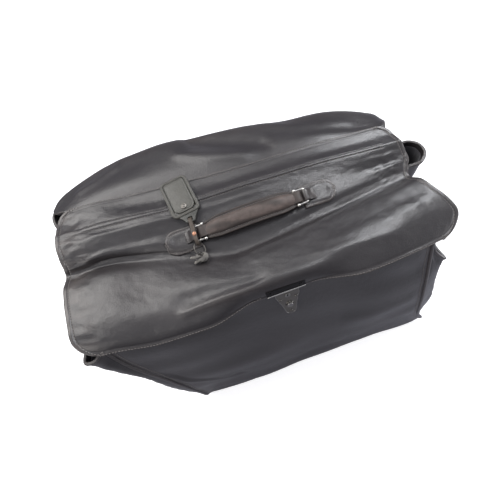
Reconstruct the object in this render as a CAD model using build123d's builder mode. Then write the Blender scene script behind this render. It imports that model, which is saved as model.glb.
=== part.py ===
from build123d import *
import math
import os

# Soft leather doctor bag with a flap, a strap handle, a luggage tag and a push lock.
# Millimetres. +Z is up, +X is the bag's right as seen from the front, -Y is the front.
# The origin is the centre of the base, on the ground.

# ---------------------------------------------------------------- driving dimensions
BASE_LENGTH = 400.0       # along X, at the ground
BASE_DEPTH = 286.0        # along Y, at the ground
MOUTH_LENGTH = 432.0      # along X, at the top of the panels
FLAP_LENGTH = 444.0       # the flap overhangs both ends of the mouth
LEATHER = 3.6             # panels and flap, leather and backing together
GAP = 0.3                 # air left between pieces that lie on each other
FIT = 0.05                # air round a piece that sits in another one
BASE_LEATHER = 4.0
BASE_BOARD = 3.0          # stiff board on the base

# Side section of the bag, as (y, z) on the middle of the leather.
FRONT_FOOT = (-141.0, 4.5)
FRONT_BELLY = (-146.5, 62.0)
FRONT_WAIST = (-143.0, 135.0)
FRONT_TOP = (-98.2, 304.0)
FRONT_TILT = 16.0         # lean of the flat upper front, degrees from upright
FRONT_FLAT = 104.0        # length of that flat part
BACK_LINE = [(141.0, 4.5), (148.5, 70.0), (152.0, 150.0), (151.0, 225.0), (143.0, 268.0),
             (124.0, 297.0), (96.0, 309.0), (67.0, 313.0), (46.0, 315.5)]

# Folded ends: each fold is (y, how far it stands out at the top of the gusset).
GUSSET_FOLDS = [(-160, 0.0), (-72, 20.0), (-14, -14.0), (46, 22.0), (112, 0.0), (160, -4.0)]
GUSSET_LEATHER = 3.0
GUSSET_TOP = 295.0
GUSSET_FOOT_SPREAD = 0.04 # share of the folds left at the base

# Inside.
LINING = 1.0
LINING_INSET = 7.0        # from the middle of the leather
LINING_TRIM = 26.0        # how far it stops short of each end
POCKET_LENGTH = 240.0
POCKET_LEATHER = 1.4
STIFFENER_LENGTH = 384.0
FRONT_STIFFENER = (20.0, 2.0)   # width and thickness
REAR_STIFFENER = (16.0, 2.5)

# The flap's outer surface, as (y, z).
RIDGE = (40.0, 322.0)     # the flap bends up here, over the stitched rear stiffener
VALLEY = (-48.0, 305.0)   # second crease, in front of the handle
FLAP_SEAM = (69.0, 318.4) # rear edge, sewn to the back panel
FLAP_CREST = (-82.0, 320.0)
FLAP_TURN = (-97.5, 318.5)
FLAP_EDGE_LENGTH = 9.0    # last stretch, parallel to the front, gripped by the lock bar
HINGE_GAP = 2.0           # between the stretches of the flap, at the surface

# Handle, rings and straps, measured in the sloping plane of the flap's top.
HANDLE_X = -8.5           # world x and y of the handle's middle
HANDLE_Y = -6.0
HANDLE_HALF = 59.5        # middle of the handle to its ring pin
HANDLE_WIDTH = 27.0
HANDLE_RISE = 5.4         # how far the strap arches up between its rings
HANDLE_LIFT = 8.0         # travel when it is pulled up
RING_REACH = 12.0         # from the chape's pin to the handle's pin
RING_HEIGHT = 6.5         # both pins above the flap
RING_HALF_WIDTH = 9.1
WIRE = 1.5                # radius of the ring wire
CHAPE_LENGTH = 36.0
CHAPE_WIDTH = 28.0
CHAPE_LEATHER = 3.2
CHAPE_SETBACK = 2.2       # from the pin to the flat part of the chape
ROLL_RADIUS = 3.4         # the chape's roll round the ring
ROLL_WIDTH = 13.0
HANDLE_CLEAR = 2.4        # between the flap and the base strap
HANDLE_BASE = 2.4
HANDLE_NARROW = 16.0      # from the end of the plan to where the handle starts to widen
HANDLE_WIDE = 34.0        # and to where it has its full width
COVER_SHORT = 8.0         # how far the cover stops short of the pins
COVER_WALL = 1.9
FLANGE = 1.8              # stitched edge of the cover
CORE_HEIGHT = 5.0
CORE_WIDTH = 16.0
CORE_SHORT = 20.0         # how far the padding stops short of the pins
LOOP_WALL = 2.3
LOOP_WIDTH = 14.0
LOOP_PLAY = 0.6

# Luggage tag and its strap, in the same plane.
STRAP_X = -70.6           # the strap goes round the left ring and the chape's roll
STRAP_WIDTH = 4.6
STRAP_THICK = 1.2
STRAP_HEIGHT = 8.0        # middle of the strap loop above the flap
STRAP_RADIUS = 6.5
STRAP_REAR = 14.5
STRAP_FRONT = -8.0
STRAP_RIVET_Y = -2.0
STRAP_RIVET_RADIUS = 1.1
TAG_LENGTH = 57.0
TAG_WIDTH = 37.0
TAG_CORNER = 7.0
TAG_TURN = 8.0            # degrees, the tag lies askew
TAG_BORDER = 4.0
TAG_BORDER_RISE = 1.6
TAG_LEATHER = 2.2
TAG_DROOP = 8.5           # degrees, the tag leans down onto the back from the strap
TAG_MIDDLE = 13.0 + TAG_LENGTH / 2     # from the strap's rear end to the middle of the tag
TAG_SIDE = -5.0           # the middle of the tag lies to the left of the strap
CARD = 0.4
COVER_LEATHER = 1.6
SNAP_Y = -(TAG_LENGTH / 2 - TAG_BORDER - 7.5)
SNAP_RADIUS = 4.0
STUD_RADIUS = 3.2

# Keys.
KEY_RING_RADIUS = 8.0
KEY_WIRE = 0.7
KEY_RING_Y = -19.2
KEY_RING_HEIGHT = 7.3
KEY_RING_LEAN = 45.0      # degrees
KEY_THICK = 1.5
KEY_HOLE = 2.2
KEY_BOW_RADIUS = 6.0
KEY_BOW_Y = -30.5
KEY_BOWS_X = (-69.5, -72.1)
KEY_BLADE = (9.0, 3.6)    # length and width
KEY_NOTCHES = [7.2, 9.6, 12.0]

# Lock, measured on the flat upper front: up the front and out of it.
LOCK_DOWN = 28.0          # middle of the lock below the panel's top edge
CASE_DEPTH = 6.0
CASE_WIDTH = 26.0
CASE_WAIST = (8.8, -2.0)  # half width and height where the sides of the case turn down
CASE_FOOT = (6.2, -15.0)
CASE_SHOULDER = 13.0
CASE_TOP = 22.0
CAVITY = (-12.0, 8.5)     # lower and upper end of the hollow for the works
CAVITY_WIDTH = 9.2
CATCH_ROOM = (14.0, 8.6)  # wider upper part of the hollow, for the catch
PLATE = 1.2
SHIELD_WIDTH = 29.2
SHIELD_TOP = 22.3
SHIELD_SHOULDER = 15.0    # where the sides start to draw in
SHIELD_WAIST = (9.8, -3.0)
SHIELD_FOOT = (6.8, -19.0)
RIVET_SPOTS = [(-9.6, 8.0), (9.6, 8.0), (0.0, -19.5)]
RIVET_RADIUS = 1.5
FOOT_RADIUS = 3.9         # spacer under the plate at the lowest rivet
BACKING_SIZE = (32.0, 46.0)
BACKING = 1.0
BARREL_Y = 15.0
BARREL_RADIUS = 3.4
KEYWAY = (0.9, 4.4)
BUTTON_Y = -4.0
BUTTON_RADIUS = 4.0
BUTTON_PROUD = 2.9        # above the plate
BUTTON_TRAVEL = 2.0
BUTTON_SEAT = 1.6         # how deep the button's disc reaches into the case
CATCH_SIZE = (12.0, 4.0)
SPRING_TOP = 1.3          # top of the leaf spring above the leather
SPRING = 0.35
BAR_WIDTH = 47.0
BAR_HEIGHT = 10.0
BAR_LOW = 22.5            # lower edge of the bar, just above the case
BAR_OUT = 6.2             # back of the bar's front leaf
BAR_RIVET_SPOTS = [(-18.0, BAR_LOW + 6.0), (18.0, BAR_LOW + 6.0)]
BAR_RIVET_RADIUS = 1.0
PRONG_X = 9.2
PRONG_WIDTH = 4.6
PRONG_LENGTH = 5.2

flap_slope = math.atan2(RIDGE[1] - VALLEY[1], RIDGE[0] - VALLEY[0])
front_lean = math.radians(FRONT_TILT)


# ---------------------------------------------------------------- planes and helpers
def top_plane(height=0.0):
    """The flap's top surface under the handle, raised by height."""
    rise = (HANDLE_Y - VALLEY[0]) * math.tan(flap_slope)
    normal = (0, -math.sin(flap_slope), math.cos(flap_slope))
    origin = (HANDLE_X, HANDLE_Y, VALLEY[1] + rise)
    return Plane(origin=origin, x_dir=(1, 0, 0), z_dir=normal).offset(height)


def handle_side_plane():
    """Looks along the flap from the front: local x is X, local y is height above the flap."""
    top = top_plane()
    return Plane(origin=top.origin, x_dir=(1, 0, 0), z_dir=-top.y_dir)


def strap_plane(x):
    """Looks along X: local x runs up the slope, local y is height above the flap."""
    top = top_plane()
    return Plane(origin=top.from_local_coords((x, 0, 0)), x_dir=top.y_dir, z_dir=(1, 0, 0))


def lock_plane(out=0.0):
    """The outer face of the flat upper front, at the middle of the lock."""
    up = (math.sin(front_lean), math.cos(front_lean))
    y = FRONT_TOP[0] - LOCK_DOWN * up[0] - LEATHER / 2 * up[1]
    z = FRONT_TOP[1] - LOCK_DOWN * up[1] + LEATHER / 2 * up[0]
    return Plane(origin=(0, y, z), x_dir=(1, 0, 0), z_dir=(0, -up[1], up[0])).offset(out)


def front_flat_start():
    """Lower end of the flat upper front, on the middle of the leather."""
    run = FRONT_FLAT * math.sin(front_lean)
    drop = FRONT_FLAT * math.cos(front_lean)
    return (FRONT_TOP[0] - run, FRONT_TOP[1] - drop)


def inset(points, distance):
    """Points moved square to the line through them, to its right."""
    moved = []
    for i in range(len(points)):
        before = points[max(i - 1, 0)]
        after = points[min(i + 1, len(points) - 1)]
        run = math.hypot(after[0] - before[0], after[1] - before[1])
        step = ((after[1] - before[1]) / run * distance, -(after[0] - before[0]) / run * distance)
        moved.append((points[i][0] + step[0], points[i][1] + step[1]))
    return moved


FRONT_LINE = [FRONT_FOOT, FRONT_BELLY, FRONT_WAIST, front_flat_start(), FRONT_TOP]


def panel_length_at(height):
    """Length along X of the body at a height."""
    share = height / FRONT_TOP[1]
    return BASE_LENGTH + (MOUTH_LENGTH - BASE_LENGTH) * share


def finish(part, name):
    """Label a piece and write its STEP file."""
    part.part.label = name
    export_step(part.part, f"parts/{name}.step")


def tapered_ends(top=330.0, trim=0.0):
    """Keep what lies between the two sloping ends of the body."""
    low = BASE_LENGTH / 2 - trim
    high = panel_length_at(top) / 2 - trim
    with BuildSketch(Plane.XZ) as between:
        with BuildLine():
            Polyline((-low, 0), (low, 0), (high, top), (-high, top), close=True)
        make_face()
    extrude(between.sketch, amount=200, both=True, mode=Mode.INTERSECT)


os.makedirs("parts", exist_ok=True)


# ---------------------------------------------------------------- body of the bag
def make_base():
    """Leather bottom with a stiff board on it."""
    with BuildPart() as base_panel:
        with BuildSketch():
            RectangleRounded(BASE_LENGTH, BASE_DEPTH, 12)
        extrude(amount=BASE_LEATHER)
        fillet(base_panel.faces().sort_by(Axis.Z)[0].edges(), 1.5)
    finish(base_panel, "base_panel")

    with BuildPart() as base_board:
        with BuildSketch(Plane.XY.offset(BASE_LEATHER + GAP)):
            RectangleRounded(BASE_LENGTH - 22, BASE_DEPTH - 20, 10)
        extrude(amount=BASE_BOARD)
    finish(base_board, "base_board")


def make_front_panel():
    """Front, bellied below and flat above, with the rivet holes of the lock."""
    with BuildPart() as front_panel:
        with BuildSketch(Plane.YZ):
            with BuildLine():
                start = front_flat_start()
                along = (FRONT_TOP[0] - start[0], FRONT_TOP[1] - start[1])
                Spline(FRONT_FOOT, FRONT_BELLY, FRONT_WAIST, start, tangents=((-0.1, 1), along))
                Line(start, FRONT_TOP)
            trace(line_width=LEATHER)
        extrude(amount=MOUTH_LENGTH / 2, both=True)
        tapered_ends()
        with Locations(lock_plane(5)):
            with Locations(*RIVET_SPOTS):
                Hole(RIVET_RADIUS + FIT, depth=14)
    finish(front_panel, "front_panel")


def make_back_panel():
    """Back, rounded over into the shoulder and the rear edge of the mouth."""
    with BuildPart() as back_panel:
        with BuildSketch(Plane.YZ):
            with BuildLine():
                Spline(*BACK_LINE)
            trace(line_width=LEATHER)
        extrude(amount=MOUTH_LENGTH / 2, both=True)
        tapered_ends()
    finish(back_panel, "back_panel")


def gusset_sketch(height, end, spread):
    """Zigzag strip across one end of the bag; spread is how far the folds stand open."""
    outer = []
    for y, fold in GUSSET_FOLDS:
        outer.append((end * (panel_length_at(height) / 2 - 1.0 + fold * spread), y))
    inner = [(x - end * GUSSET_LEATHER, y) for x, y in reversed(outer)]
    with BuildSketch(Plane.XY.offset(height)) as strip:
        with BuildLine():
            Polyline(*outer, *inner, close=True)
        make_face()
    return strip.sketch


def make_gusset(end, name):
    """One folded end: nearly flat at the base, two open pleats under the flap."""
    with BuildPart() as gusset:
        foot = gusset_sketch(BASE_LEATHER + GAP, end, GUSSET_FOOT_SPREAD)
        loft([foot, gusset_sketch(GUSSET_TOP, end, 1.0)], ruled=True)
        front = inset(FRONT_LINE, LEATHER / 2 + 0.9)
        back = inset(BACK_LINE, -LEATHER / 2 - 0.9)
        with BuildSketch(Plane.YZ):
            with BuildLine():
                Spline(*front)
                Line(front[-1], back[-1])
                Spline(*back)
                Line(back[0], front[0])
            make_face()
        extrude(amount=300, both=True, mode=Mode.INTERSECT)
    finish(gusset, name)


def make_lining():
    """Cloth down the front, across the board and up the back."""
    front = inset(FRONT_LINE, LINING_INSET)
    back = inset(BACK_LINE[:-1], -LINING_INSET)
    floor = BASE_LEATHER + 2 * GAP + BASE_BOARD + LINING
    with BuildPart() as lining:
        with BuildSketch(Plane.YZ):
            with BuildLine():
                Spline(*reversed(front[1:]))
                Polyline(front[1], (front[0][0] + 3, floor), (back[0][0] - 3, floor), back[1])
                Spline(*back[1:])
            trace(line_width=LINING)
        extrude(amount=MOUTH_LENGTH / 2, both=True)
        tapered_ends(trim=LINING_TRIM)
    finish(lining, "lining")

    with BuildPart() as inner_pocket:
        with BuildSketch(Plane.YZ):
            with BuildLine():
                Spline(*inset(BACK_LINE[1:5], -LINING_INSET - 3.0))
            trace(line_width=POCKET_LEATHER)
        extrude(amount=POCKET_LENGTH / 2, both=True)
    finish(inner_pocket, "inner_pocket")


def make_stiffeners():
    """Two flat bars that keep the mouth straight: inside the front edge and under the flap's root."""
    with BuildPart() as stiffener_front:
        with BuildSketch(lock_plane(-LEATHER - GAP)):
            with Locations((0, LOCK_DOWN - 13)):
                RectangleRounded(STIFFENER_LENGTH, FRONT_STIFFENER[0], 5)
            with Locations(*RIVET_SPOTS):
                Circle(RIVET_RADIUS + 2.4, mode=Mode.SUBTRACT)
        extrude(amount=-FRONT_STIFFENER[1])
    finish(stiffener_front, "stiffener_front")

    rear_end = BACK_LINE[-1]
    rear_next = BACK_LINE[-2]
    lean = math.atan2(rear_end[1] - rear_next[1], rear_next[0] - rear_end[0])
    normal = (0, math.sin(lean), math.cos(lean))
    under = Plane(origin=(0, rear_end[0], rear_end[1]), x_dir=(1, 0, 0), z_dir=normal)
    with BuildPart() as stiffener_rear:
        with BuildSketch(under.offset(-LEATHER / 2 - GAP)):
            with Locations((0, 10)):
                RectangleRounded(STIFFENER_LENGTH, REAR_STIFFENER[0], 5)
        extrude(amount=-REAR_STIFFENER[1])
    finish(stiffener_rear, "stiffener_rear")


# ---------------------------------------------------------------- flap
def flap_corners(front, back, front_radius, back_radius):
    """Plan outline of a stretch of flap, with its corners rounded."""
    half = FLAP_LENGTH / 2
    with BuildSketch(Plane.XY.offset(250)) as outline:
        with BuildLine():
            Polyline((-half, front), (half, front), (half, back), (-half, back), close=True)
        make_face()
        if front_radius:
            fillet(outline.vertices().group_by(Axis.Y)[0], front_radius)
        if back_radius:
            fillet(outline.vertices().group_by(Axis.Y)[-1], back_radius)
    extrude(outline.sketch, amount=100, mode=Mode.INTERSECT)


def make_flap():
    """The flap in its three stretches: sewn rear band, top with the handle, and front."""
    half = LEATHER / 2
    rear_line = inset([(FLAP_SEAM[0], FLAP_SEAM[1]), (RIDGE[0] + HINGE_GAP / 2, RIDGE[1])], -half)
    with BuildPart() as flap_rear:
        with BuildSketch(Plane.YZ):
            with BuildLine():
                Line(*rear_line)
            trace(line_width=LEATHER)
        extrude(amount=FLAP_LENGTH / 2, both=True)
        flap_corners(20, FLAP_SEAM[0], 0, 14)
    finish(flap_rear, "flap_rear")

    with BuildPart() as flap_top:
        with BuildSketch(top_plane()):
            middle = ((RIDGE[0] + VALLEY[0]) / 2 - HANDLE_Y) / math.cos(flap_slope)
            with Locations((-HANDLE_X, middle)):
                Rectangle(FLAP_LENGTH, (RIDGE[0] - VALLEY[0]) / math.cos(flap_slope) - HINGE_GAP)
        extrude(amount=-LEATHER)
    finish(flap_top, "flap_top")

    edge = lock_plane(BAR_OUT - GAP)
    edge_low = edge.from_local_coords((0, BAR_LOW + PLATE + GAP, 0))
    edge_high = edge.from_local_coords((0, BAR_LOW + PLATE + GAP + FLAP_EDGE_LENGTH, 0))
    surface = [(VALLEY[0] - HINGE_GAP / 2, VALLEY[1] + 0.2), FLAP_CREST, FLAP_TURN,
               (edge_high.Y, edge_high.Z), (edge_low.Y, edge_low.Z)]
    with BuildPart() as flap_front:
        with BuildSketch(Plane.YZ) as section:
            with BuildLine():
                Polyline(*surface)
                Line(surface[-1], inset(surface, -LEATHER)[-1])
                Polyline(*reversed(inset(surface, -LEATHER)))
                Line(inset(surface, -LEATHER)[0], surface[0])
            make_face()
            fillet(section.vertices().sort_by_distance(Vector(*FLAP_CREST))[0], 10)
            fillet(section.vertices().sort_by_distance(Vector(*FLAP_TURN))[0], 6)
        extrude(amount=FLAP_LENGTH / 2, both=True)
        flap_corners(-110, VALLEY[0] + 10, 22, 0)
        with Locations(lock_plane(BAR_OUT + 5)):
            with Locations(*BAR_RIVET_SPOTS):
                Hole(BAR_RIVET_RADIUS + 0.1, depth=12)
    finish(flap_front, "flap_front")


# ---------------------------------------------------------------- handle, chapes and rings
def make_chape(end, name):
    """Leather tab sewn to the flap, folded round the outer bar of a ring."""
    pin = HANDLE_HALF + RING_REACH
    with BuildPart() as chape:
        with BuildSketch(top_plane(0.1)):
            with Locations((end * (pin + CHAPE_SETBACK + CHAPE_LENGTH / 2), 0)):
                Rectangle(CHAPE_LENGTH, CHAPE_WIDTH)
        extrude(amount=CHAPE_LEATHER)
        upright = chape.edges().filter_by(lambda e: abs(e.tangent_at(0).X) < 0.01 and e.length < 4)
        outer_corners = upright.filter_by(lambda e: abs(e.center().X - HANDLE_X) > pin + CHAPE_LENGTH)
        fillet(outer_corners, CHAPE_WIDTH / 2 - 0.5)
        with BuildSketch(handle_side_plane()) as roll:
            with BuildLine():
                Polyline((end * (pin + 13), 3.0), (end * (pin + 2.4), 3.0),
                         (end * pin, RING_HEIGHT - ROLL_RADIUS), (end * pin, RING_HEIGHT + ROLL_RADIUS),
                         (end * (pin + 3), RING_HEIGHT + 2.6), close=True)
            make_face()
            with Locations((end * pin, RING_HEIGHT)):
                Circle(ROLL_RADIUS)
                Circle(WIRE + GAP, mode=Mode.SUBTRACT)
        extrude(amount=ROLL_WIDTH / 2, both=True)
    finish(chape, name)


def make_ring(end, name):
    """Rectangular wire ring between a chape and the handle."""
    near = end * HANDLE_HALF
    far = end * (HANDLE_HALF + RING_REACH)
    half = RING_HALF_WIDTH
    with BuildPart() as ring:
        with BuildLine(top_plane(RING_HEIGHT)) as path:
            FilletPolyline((near, -half), (far, -half), (far, half), (near, half), radius=2.5, close=True)
        with BuildSketch(Plane(origin=path.line @ 0, z_dir=path.line % 0)):
            Circle(WIRE)
        sweep()
    finish(ring, name)


def arch_band(low, high, half):
    """Side view of a curved strip: an arch of height HANDLE_RISE between two offsets."""
    end_rise = HANDLE_RISE * (1 - (half / HANDLE_HALF) ** 2)
    with BuildLine() as side:
        ThreePointArc((-half, low + end_rise), (0, low + HANDLE_RISE), (half, low + end_rise))
        Line((half, low + end_rise), (half, high + end_rise))
        ThreePointArc((half, high + end_rise), (0, high + HANDLE_RISE), (-half, high + end_rise))
        Line((-half, high + end_rise), (-half, low + end_rise))
    make_face(side.edges())


def handle_plan():
    """Plan outline of the handle, drawn in at both ends, cut through the part."""
    half = HANDLE_HALF + RING_REACH
    narrow = LOOP_WIDTH / 2
    wide = HANDLE_WIDTH / 2
    corners = [(-half, narrow), (HANDLE_NARROW - half, narrow), (HANDLE_WIDE - half, wide),
               (half - HANDLE_WIDE, wide), (half - HANDLE_NARROW, narrow), (half, narrow)]
    mirrored = [(x, -y) for x, y in reversed(corners)]
    with BuildSketch(top_plane()) as plan:
        with BuildLine():
            Polyline(*corners, *mirrored, close=True)
        make_face()
    extrude(plan.sketch, amount=60, both=True, mode=Mode.INTERSECT)


def make_handle():
    """Base strap with a loop at each end, padding core, and the stitched cover over it."""
    slot_radius = WIRE + LOOP_PLAY
    slot_run = RING_REACH - math.sqrt(RING_REACH ** 2 - HANDLE_LIFT ** 2)
    low = HANDLE_CLEAR
    with BuildPart() as handle_base:
        with BuildSketch(handle_side_plane()):
            arch_band(low, low + HANDLE_BASE, HANDLE_HALF - 2)
            for end in (-1, 1):
                with Locations((end * (HANDLE_HALF + slot_run / 2), RING_HEIGHT)):
                    SlotCenterToCenter(slot_run, 2 * (slot_radius + LOOP_WALL))
                    SlotCenterToCenter(slot_run, 2 * slot_radius, mode=Mode.SUBTRACT)
        extrude(amount=HANDLE_WIDTH / 2, both=True)
        handle_plan()
    finish(handle_base, "handle_base")

    bottom = low + HANDLE_BASE + FIT
    core_half = HANDLE_HALF - CORE_SHORT
    with BuildPart() as handle_core:
        with BuildSketch(handle_side_plane()):
            arch_band(bottom, bottom + CORE_HEIGHT, core_half)
        extrude(amount=CORE_WIDTH / 2, both=True)
        edges = handle_core.edges().filter_by(GeomType.CIRCLE).group_by(Axis.Z)
        fillet(edges[-1], 3.0)
    finish(handle_core, "handle_core")

    cover_half = HANDLE_HALF - COVER_SHORT
    with BuildPart() as handle_cover:
        with BuildSketch(handle_side_plane()):
            arch_band(bottom, bottom + FLANGE, cover_half)
        extrude(amount=HANDLE_WIDTH / 2, both=True)
        with BuildSketch(handle_side_plane()):
            arch_band(bottom, bottom + CORE_HEIGHT + COVER_WALL, cover_half - 4)
        extrude(amount=CORE_WIDTH / 2 + COVER_WALL - 0.1, both=True)
        handle_plan()
        with BuildSketch(handle_side_plane()):
            arch_band(bottom - 0.5, bottom + CORE_HEIGHT + FIT, core_half + 2 * FIT)
        extrude(amount=CORE_WIDTH / 2 + 2 * FIT, both=True, mode=Mode.SUBTRACT)
    finish(handle_cover, "handle_cover")


# ---------------------------------------------------------------- luggage tag and keys
def neck_plane(height=0.0):
    """Through the rear end of the strap loop, leaning down towards the tag's far end."""
    loop = top_plane(STRAP_HEIGHT)
    back = loop.y_dir.rotate(Axis((0, 0, 0), (1, 0, 0)), -TAG_DROOP)
    pivot = loop.from_local_coords((STRAP_X, STRAP_REAR, 0))
    return Plane(origin=pivot, x_dir=(1, 0, 0), z_dir=Vector(1, 0, 0).cross(back)).offset(height)


def tag_plane(height=0.0):
    """The tag's own plane, turned askew about the middle of the tag."""
    neck = neck_plane(height)
    middle = neck.from_local_coords((TAG_SIDE, TAG_MIDDLE, 0))
    turned = Vector(1, 0, 0).rotate(Axis((0, 0, 0), neck.z_dir), TAG_TURN)
    return Plane(origin=middle, x_dir=turned, z_dir=neck.z_dir)


def make_tag_strap():
    """Closed strap loop that ties the tag and the keys to the handle's left ring."""
    with BuildPart() as tag_strap:
        with BuildSketch(strap_plane(STRAP_X)):
            run = STRAP_REAR - STRAP_FRONT
            with Locations(((STRAP_REAR + STRAP_FRONT) / 2, STRAP_HEIGHT)):
                SlotCenterToCenter(run, 2 * STRAP_RADIUS + STRAP_THICK)
                SlotCenterToCenter(run, 2 * STRAP_RADIUS - STRAP_THICK, mode=Mode.SUBTRACT)
        extrude(amount=STRAP_WIDTH / 2, both=True)
        with BuildSketch(top_plane(STRAP_HEIGHT)):
            with Locations((STRAP_X, STRAP_RIVET_Y)):
                Circle(STRAP_RIVET_RADIUS + FIT)
        extrude(amount=20, mode=Mode.SUBTRACT)
    finish(tag_strap, "tag_strap")

    leather_top = STRAP_HEIGHT + STRAP_RADIUS + STRAP_THICK / 2
    leather_bottom = leather_top - STRAP_THICK
    with BuildPart() as strap_rivet:
        with BuildSketch(top_plane(leather_bottom - 0.9)):
            with Locations((STRAP_X, STRAP_RIVET_Y)):
                Circle(STRAP_RIVET_RADIUS + 1.1)
        extrude(amount=0.9 - FIT)
        with BuildSketch(top_plane(leather_bottom - 0.5)):
            with Locations((STRAP_X, STRAP_RIVET_Y)):
                Circle(STRAP_RIVET_RADIUS)
        extrude(amount=STRAP_THICK + 0.8)
        with BuildSketch(top_plane(leather_top + FIT)):
            with Locations((STRAP_X, STRAP_RIVET_Y)):
                Circle(STRAP_RIVET_RADIUS + 1.5)
        extrude(amount=1.0)
        fillet(strap_rivet.faces().sort_by(Axis.Z)[-1].edges(), 0.6)
    finish(strap_rivet, "strap_rivet")


def make_tag():
    """Back leaf with its raised border and neck, name card, cover leaf and press snap."""
    with BuildPart() as tag_body:
        with BuildSketch(tag_plane(-TAG_LEATHER / 2)):
            RectangleRounded(TAG_WIDTH, TAG_LENGTH, TAG_CORNER)
        extrude(amount=TAG_LEATHER)
        with BuildSketch(neck_plane(-TAG_LEATHER / 2)):
            with BuildLine():
                Polyline((-6, 2), (6, 2), (6, 10), (10, 20), (-12, 20), (-6, 10), close=True)
            make_face()
            with Locations((0, 6.6)):
                Rectangle(STRAP_WIDTH + 1.6, 4.2, mode=Mode.SUBTRACT)
        extrude(amount=TAG_LEATHER)
        with BuildSketch(tag_plane(TAG_LEATHER / 2)):
            RectangleRounded(TAG_WIDTH, TAG_LENGTH, TAG_CORNER)
            RectangleRounded(TAG_WIDTH - 2 * TAG_BORDER, TAG_LENGTH - 2 * TAG_BORDER, 4, mode=Mode.SUBTRACT)
        extrude(amount=TAG_BORDER_RISE)
    finish(tag_body, "tag_body")

    card_bottom = TAG_LEATHER / 2 + FIT
    with BuildPart() as tag_card:
        with BuildSketch(tag_plane(card_bottom)):
            with Locations((0, 3)):
                RectangleRounded(TAG_WIDTH - 2 * TAG_BORDER - 2, TAG_LENGTH - 2 * TAG_BORDER - 8, 3.5)
            with Locations((0, SNAP_Y)):
                Circle(STUD_RADIUS + 0.4, mode=Mode.SUBTRACT)
        extrude(amount=CARD)
    finish(tag_card, "tag_card")

    with BuildPart() as tag_snap_stud:
        with BuildSketch(tag_plane(card_bottom)):
            with Locations((0, SNAP_Y)):
                Circle(STUD_RADIUS)
        extrude(amount=CARD + 0.1)
    finish(tag_snap_stud, "tag_snap_stud")

    cover_bottom = card_bottom + CARD + 3 * FIT
    with BuildPart() as tag_cover:
        with BuildSketch(tag_plane(cover_bottom)) as leaf:
            Rectangle(TAG_WIDTH - 2 * TAG_BORDER - 1, TAG_LENGTH - 2 * TAG_BORDER - 1)
            fillet(leaf.vertices().group_by(Axis.Y)[0], 9)
            fillet(leaf.vertices().group_by(Axis.Y)[-1], 4)
        extrude(amount=COVER_LEATHER)
    finish(tag_cover, "tag_cover")

    with BuildPart() as tag_snap_cap:
        with BuildSketch(tag_plane(cover_bottom + COVER_LEATHER + 0.03)):
            with Locations((0, SNAP_Y)):
                Circle(SNAP_RADIUS)
        extrude(amount=1.6)
        fillet(tag_snap_cap.faces().sort_by(Axis.Z)[-1].edges(), 1.2)
    finish(tag_snap_cap, "tag_snap_cap")


def make_key_ring():
    """Small wire ring through the front end of the strap, leaning on the flap."""
    leaning = top_plane(KEY_RING_HEIGHT)
    centre = leaning.from_local_coords((STRAP_X, KEY_RING_Y, 0))
    across = Vector(1, 0, 0).rotate(Axis((0, 0, 0), leaning.y_dir), KEY_RING_LEAN)
    plane = Plane(origin=centre, x_dir=leaning.y_dir, z_dir=leaning.y_dir.cross(across))
    with BuildPart() as key_ring:
        with BuildLine(plane) as path:
            CenterArc((0, 0), KEY_RING_RADIUS, 0, 360)
        with BuildSketch(Plane(origin=path.line @ 0, z_dir=path.line % 0)):
            Circle(KEY_WIRE)
        sweep()
    finish(key_ring, "key_ring")


def make_key(name, height, hole_x, bow_x, blade_angle):
    """Small flat key: round bow with a hole for the ring, and a notched blade."""
    with BuildPart() as key:
        with BuildSketch(top_plane(height)):
            with Locations((bow_x, KEY_BOW_Y)):
                Circle(KEY_BOW_RADIUS)
            with Locations(Location((bow_x, KEY_BOW_Y), blade_angle)):
                with Locations((KEY_BLADE[0], 0)):
                    Rectangle(*KEY_BLADE)
                for notch in KEY_NOTCHES:
                    with Locations((notch, -KEY_BLADE[1] / 2)):
                        Circle(0.7, mode=Mode.SUBTRACT)
            with Locations((hole_x, KEY_RING_Y - KEY_RING_RADIUS)):
                Circle(KEY_HOLE, mode=Mode.SUBTRACT)
        extrude(amount=KEY_THICK)
    finish(key, name)


# ---------------------------------------------------------------- lock
def make_lock_case():
    """Flat housing on the front, with a hollow for the works and two mouths for the prongs."""
    half = CASE_WIDTH / 2
    right = [CASE_FOOT, CASE_WAIST, (half, CASE_SHOULDER), (half, CASE_TOP)]
    left = [(-x, y) for x, y in reversed(right)]
    mouth_low = CASE_TOP - PRONG_LENGTH - 4.3
    with BuildPart() as lock_case:
        with BuildSketch(lock_plane(FIT)):
            with BuildLine():
                Polyline(*right, *left, close=True)
            make_face()
        extrude(amount=CASE_DEPTH - FIT)
        with BuildSketch(lock_plane(0.5)):
            with Locations((0, (CAVITY[0] + CAVITY[1]) / 2)):
                RectangleRounded(CAVITY_WIDTH, CAVITY[1] - CAVITY[0], 1.5)
            with Locations((0, CAVITY[1] - CATCH_ROOM[1] / 2)):
                RectangleRounded(*CATCH_ROOM, 1.5)
            for side in (-1, 1):
                with Locations((side * PRONG_X, (CASE_TOP + mouth_low) / 2 + 1)):
                    Rectangle(PRONG_WIDTH + 0.8, CASE_TOP - mouth_low + 2)
            with Locations((0, BARREL_Y)):
                Circle(BARREL_RADIUS + FIT)
        extrude(amount=CASE_DEPTH, mode=Mode.SUBTRACT)
        with Locations(lock_plane(5)):
            with Locations(*RIVET_SPOTS[:2]):
                Hole(RIVET_RADIUS + FIT, depth=14)
    finish(lock_case, "lock_case")


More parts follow.
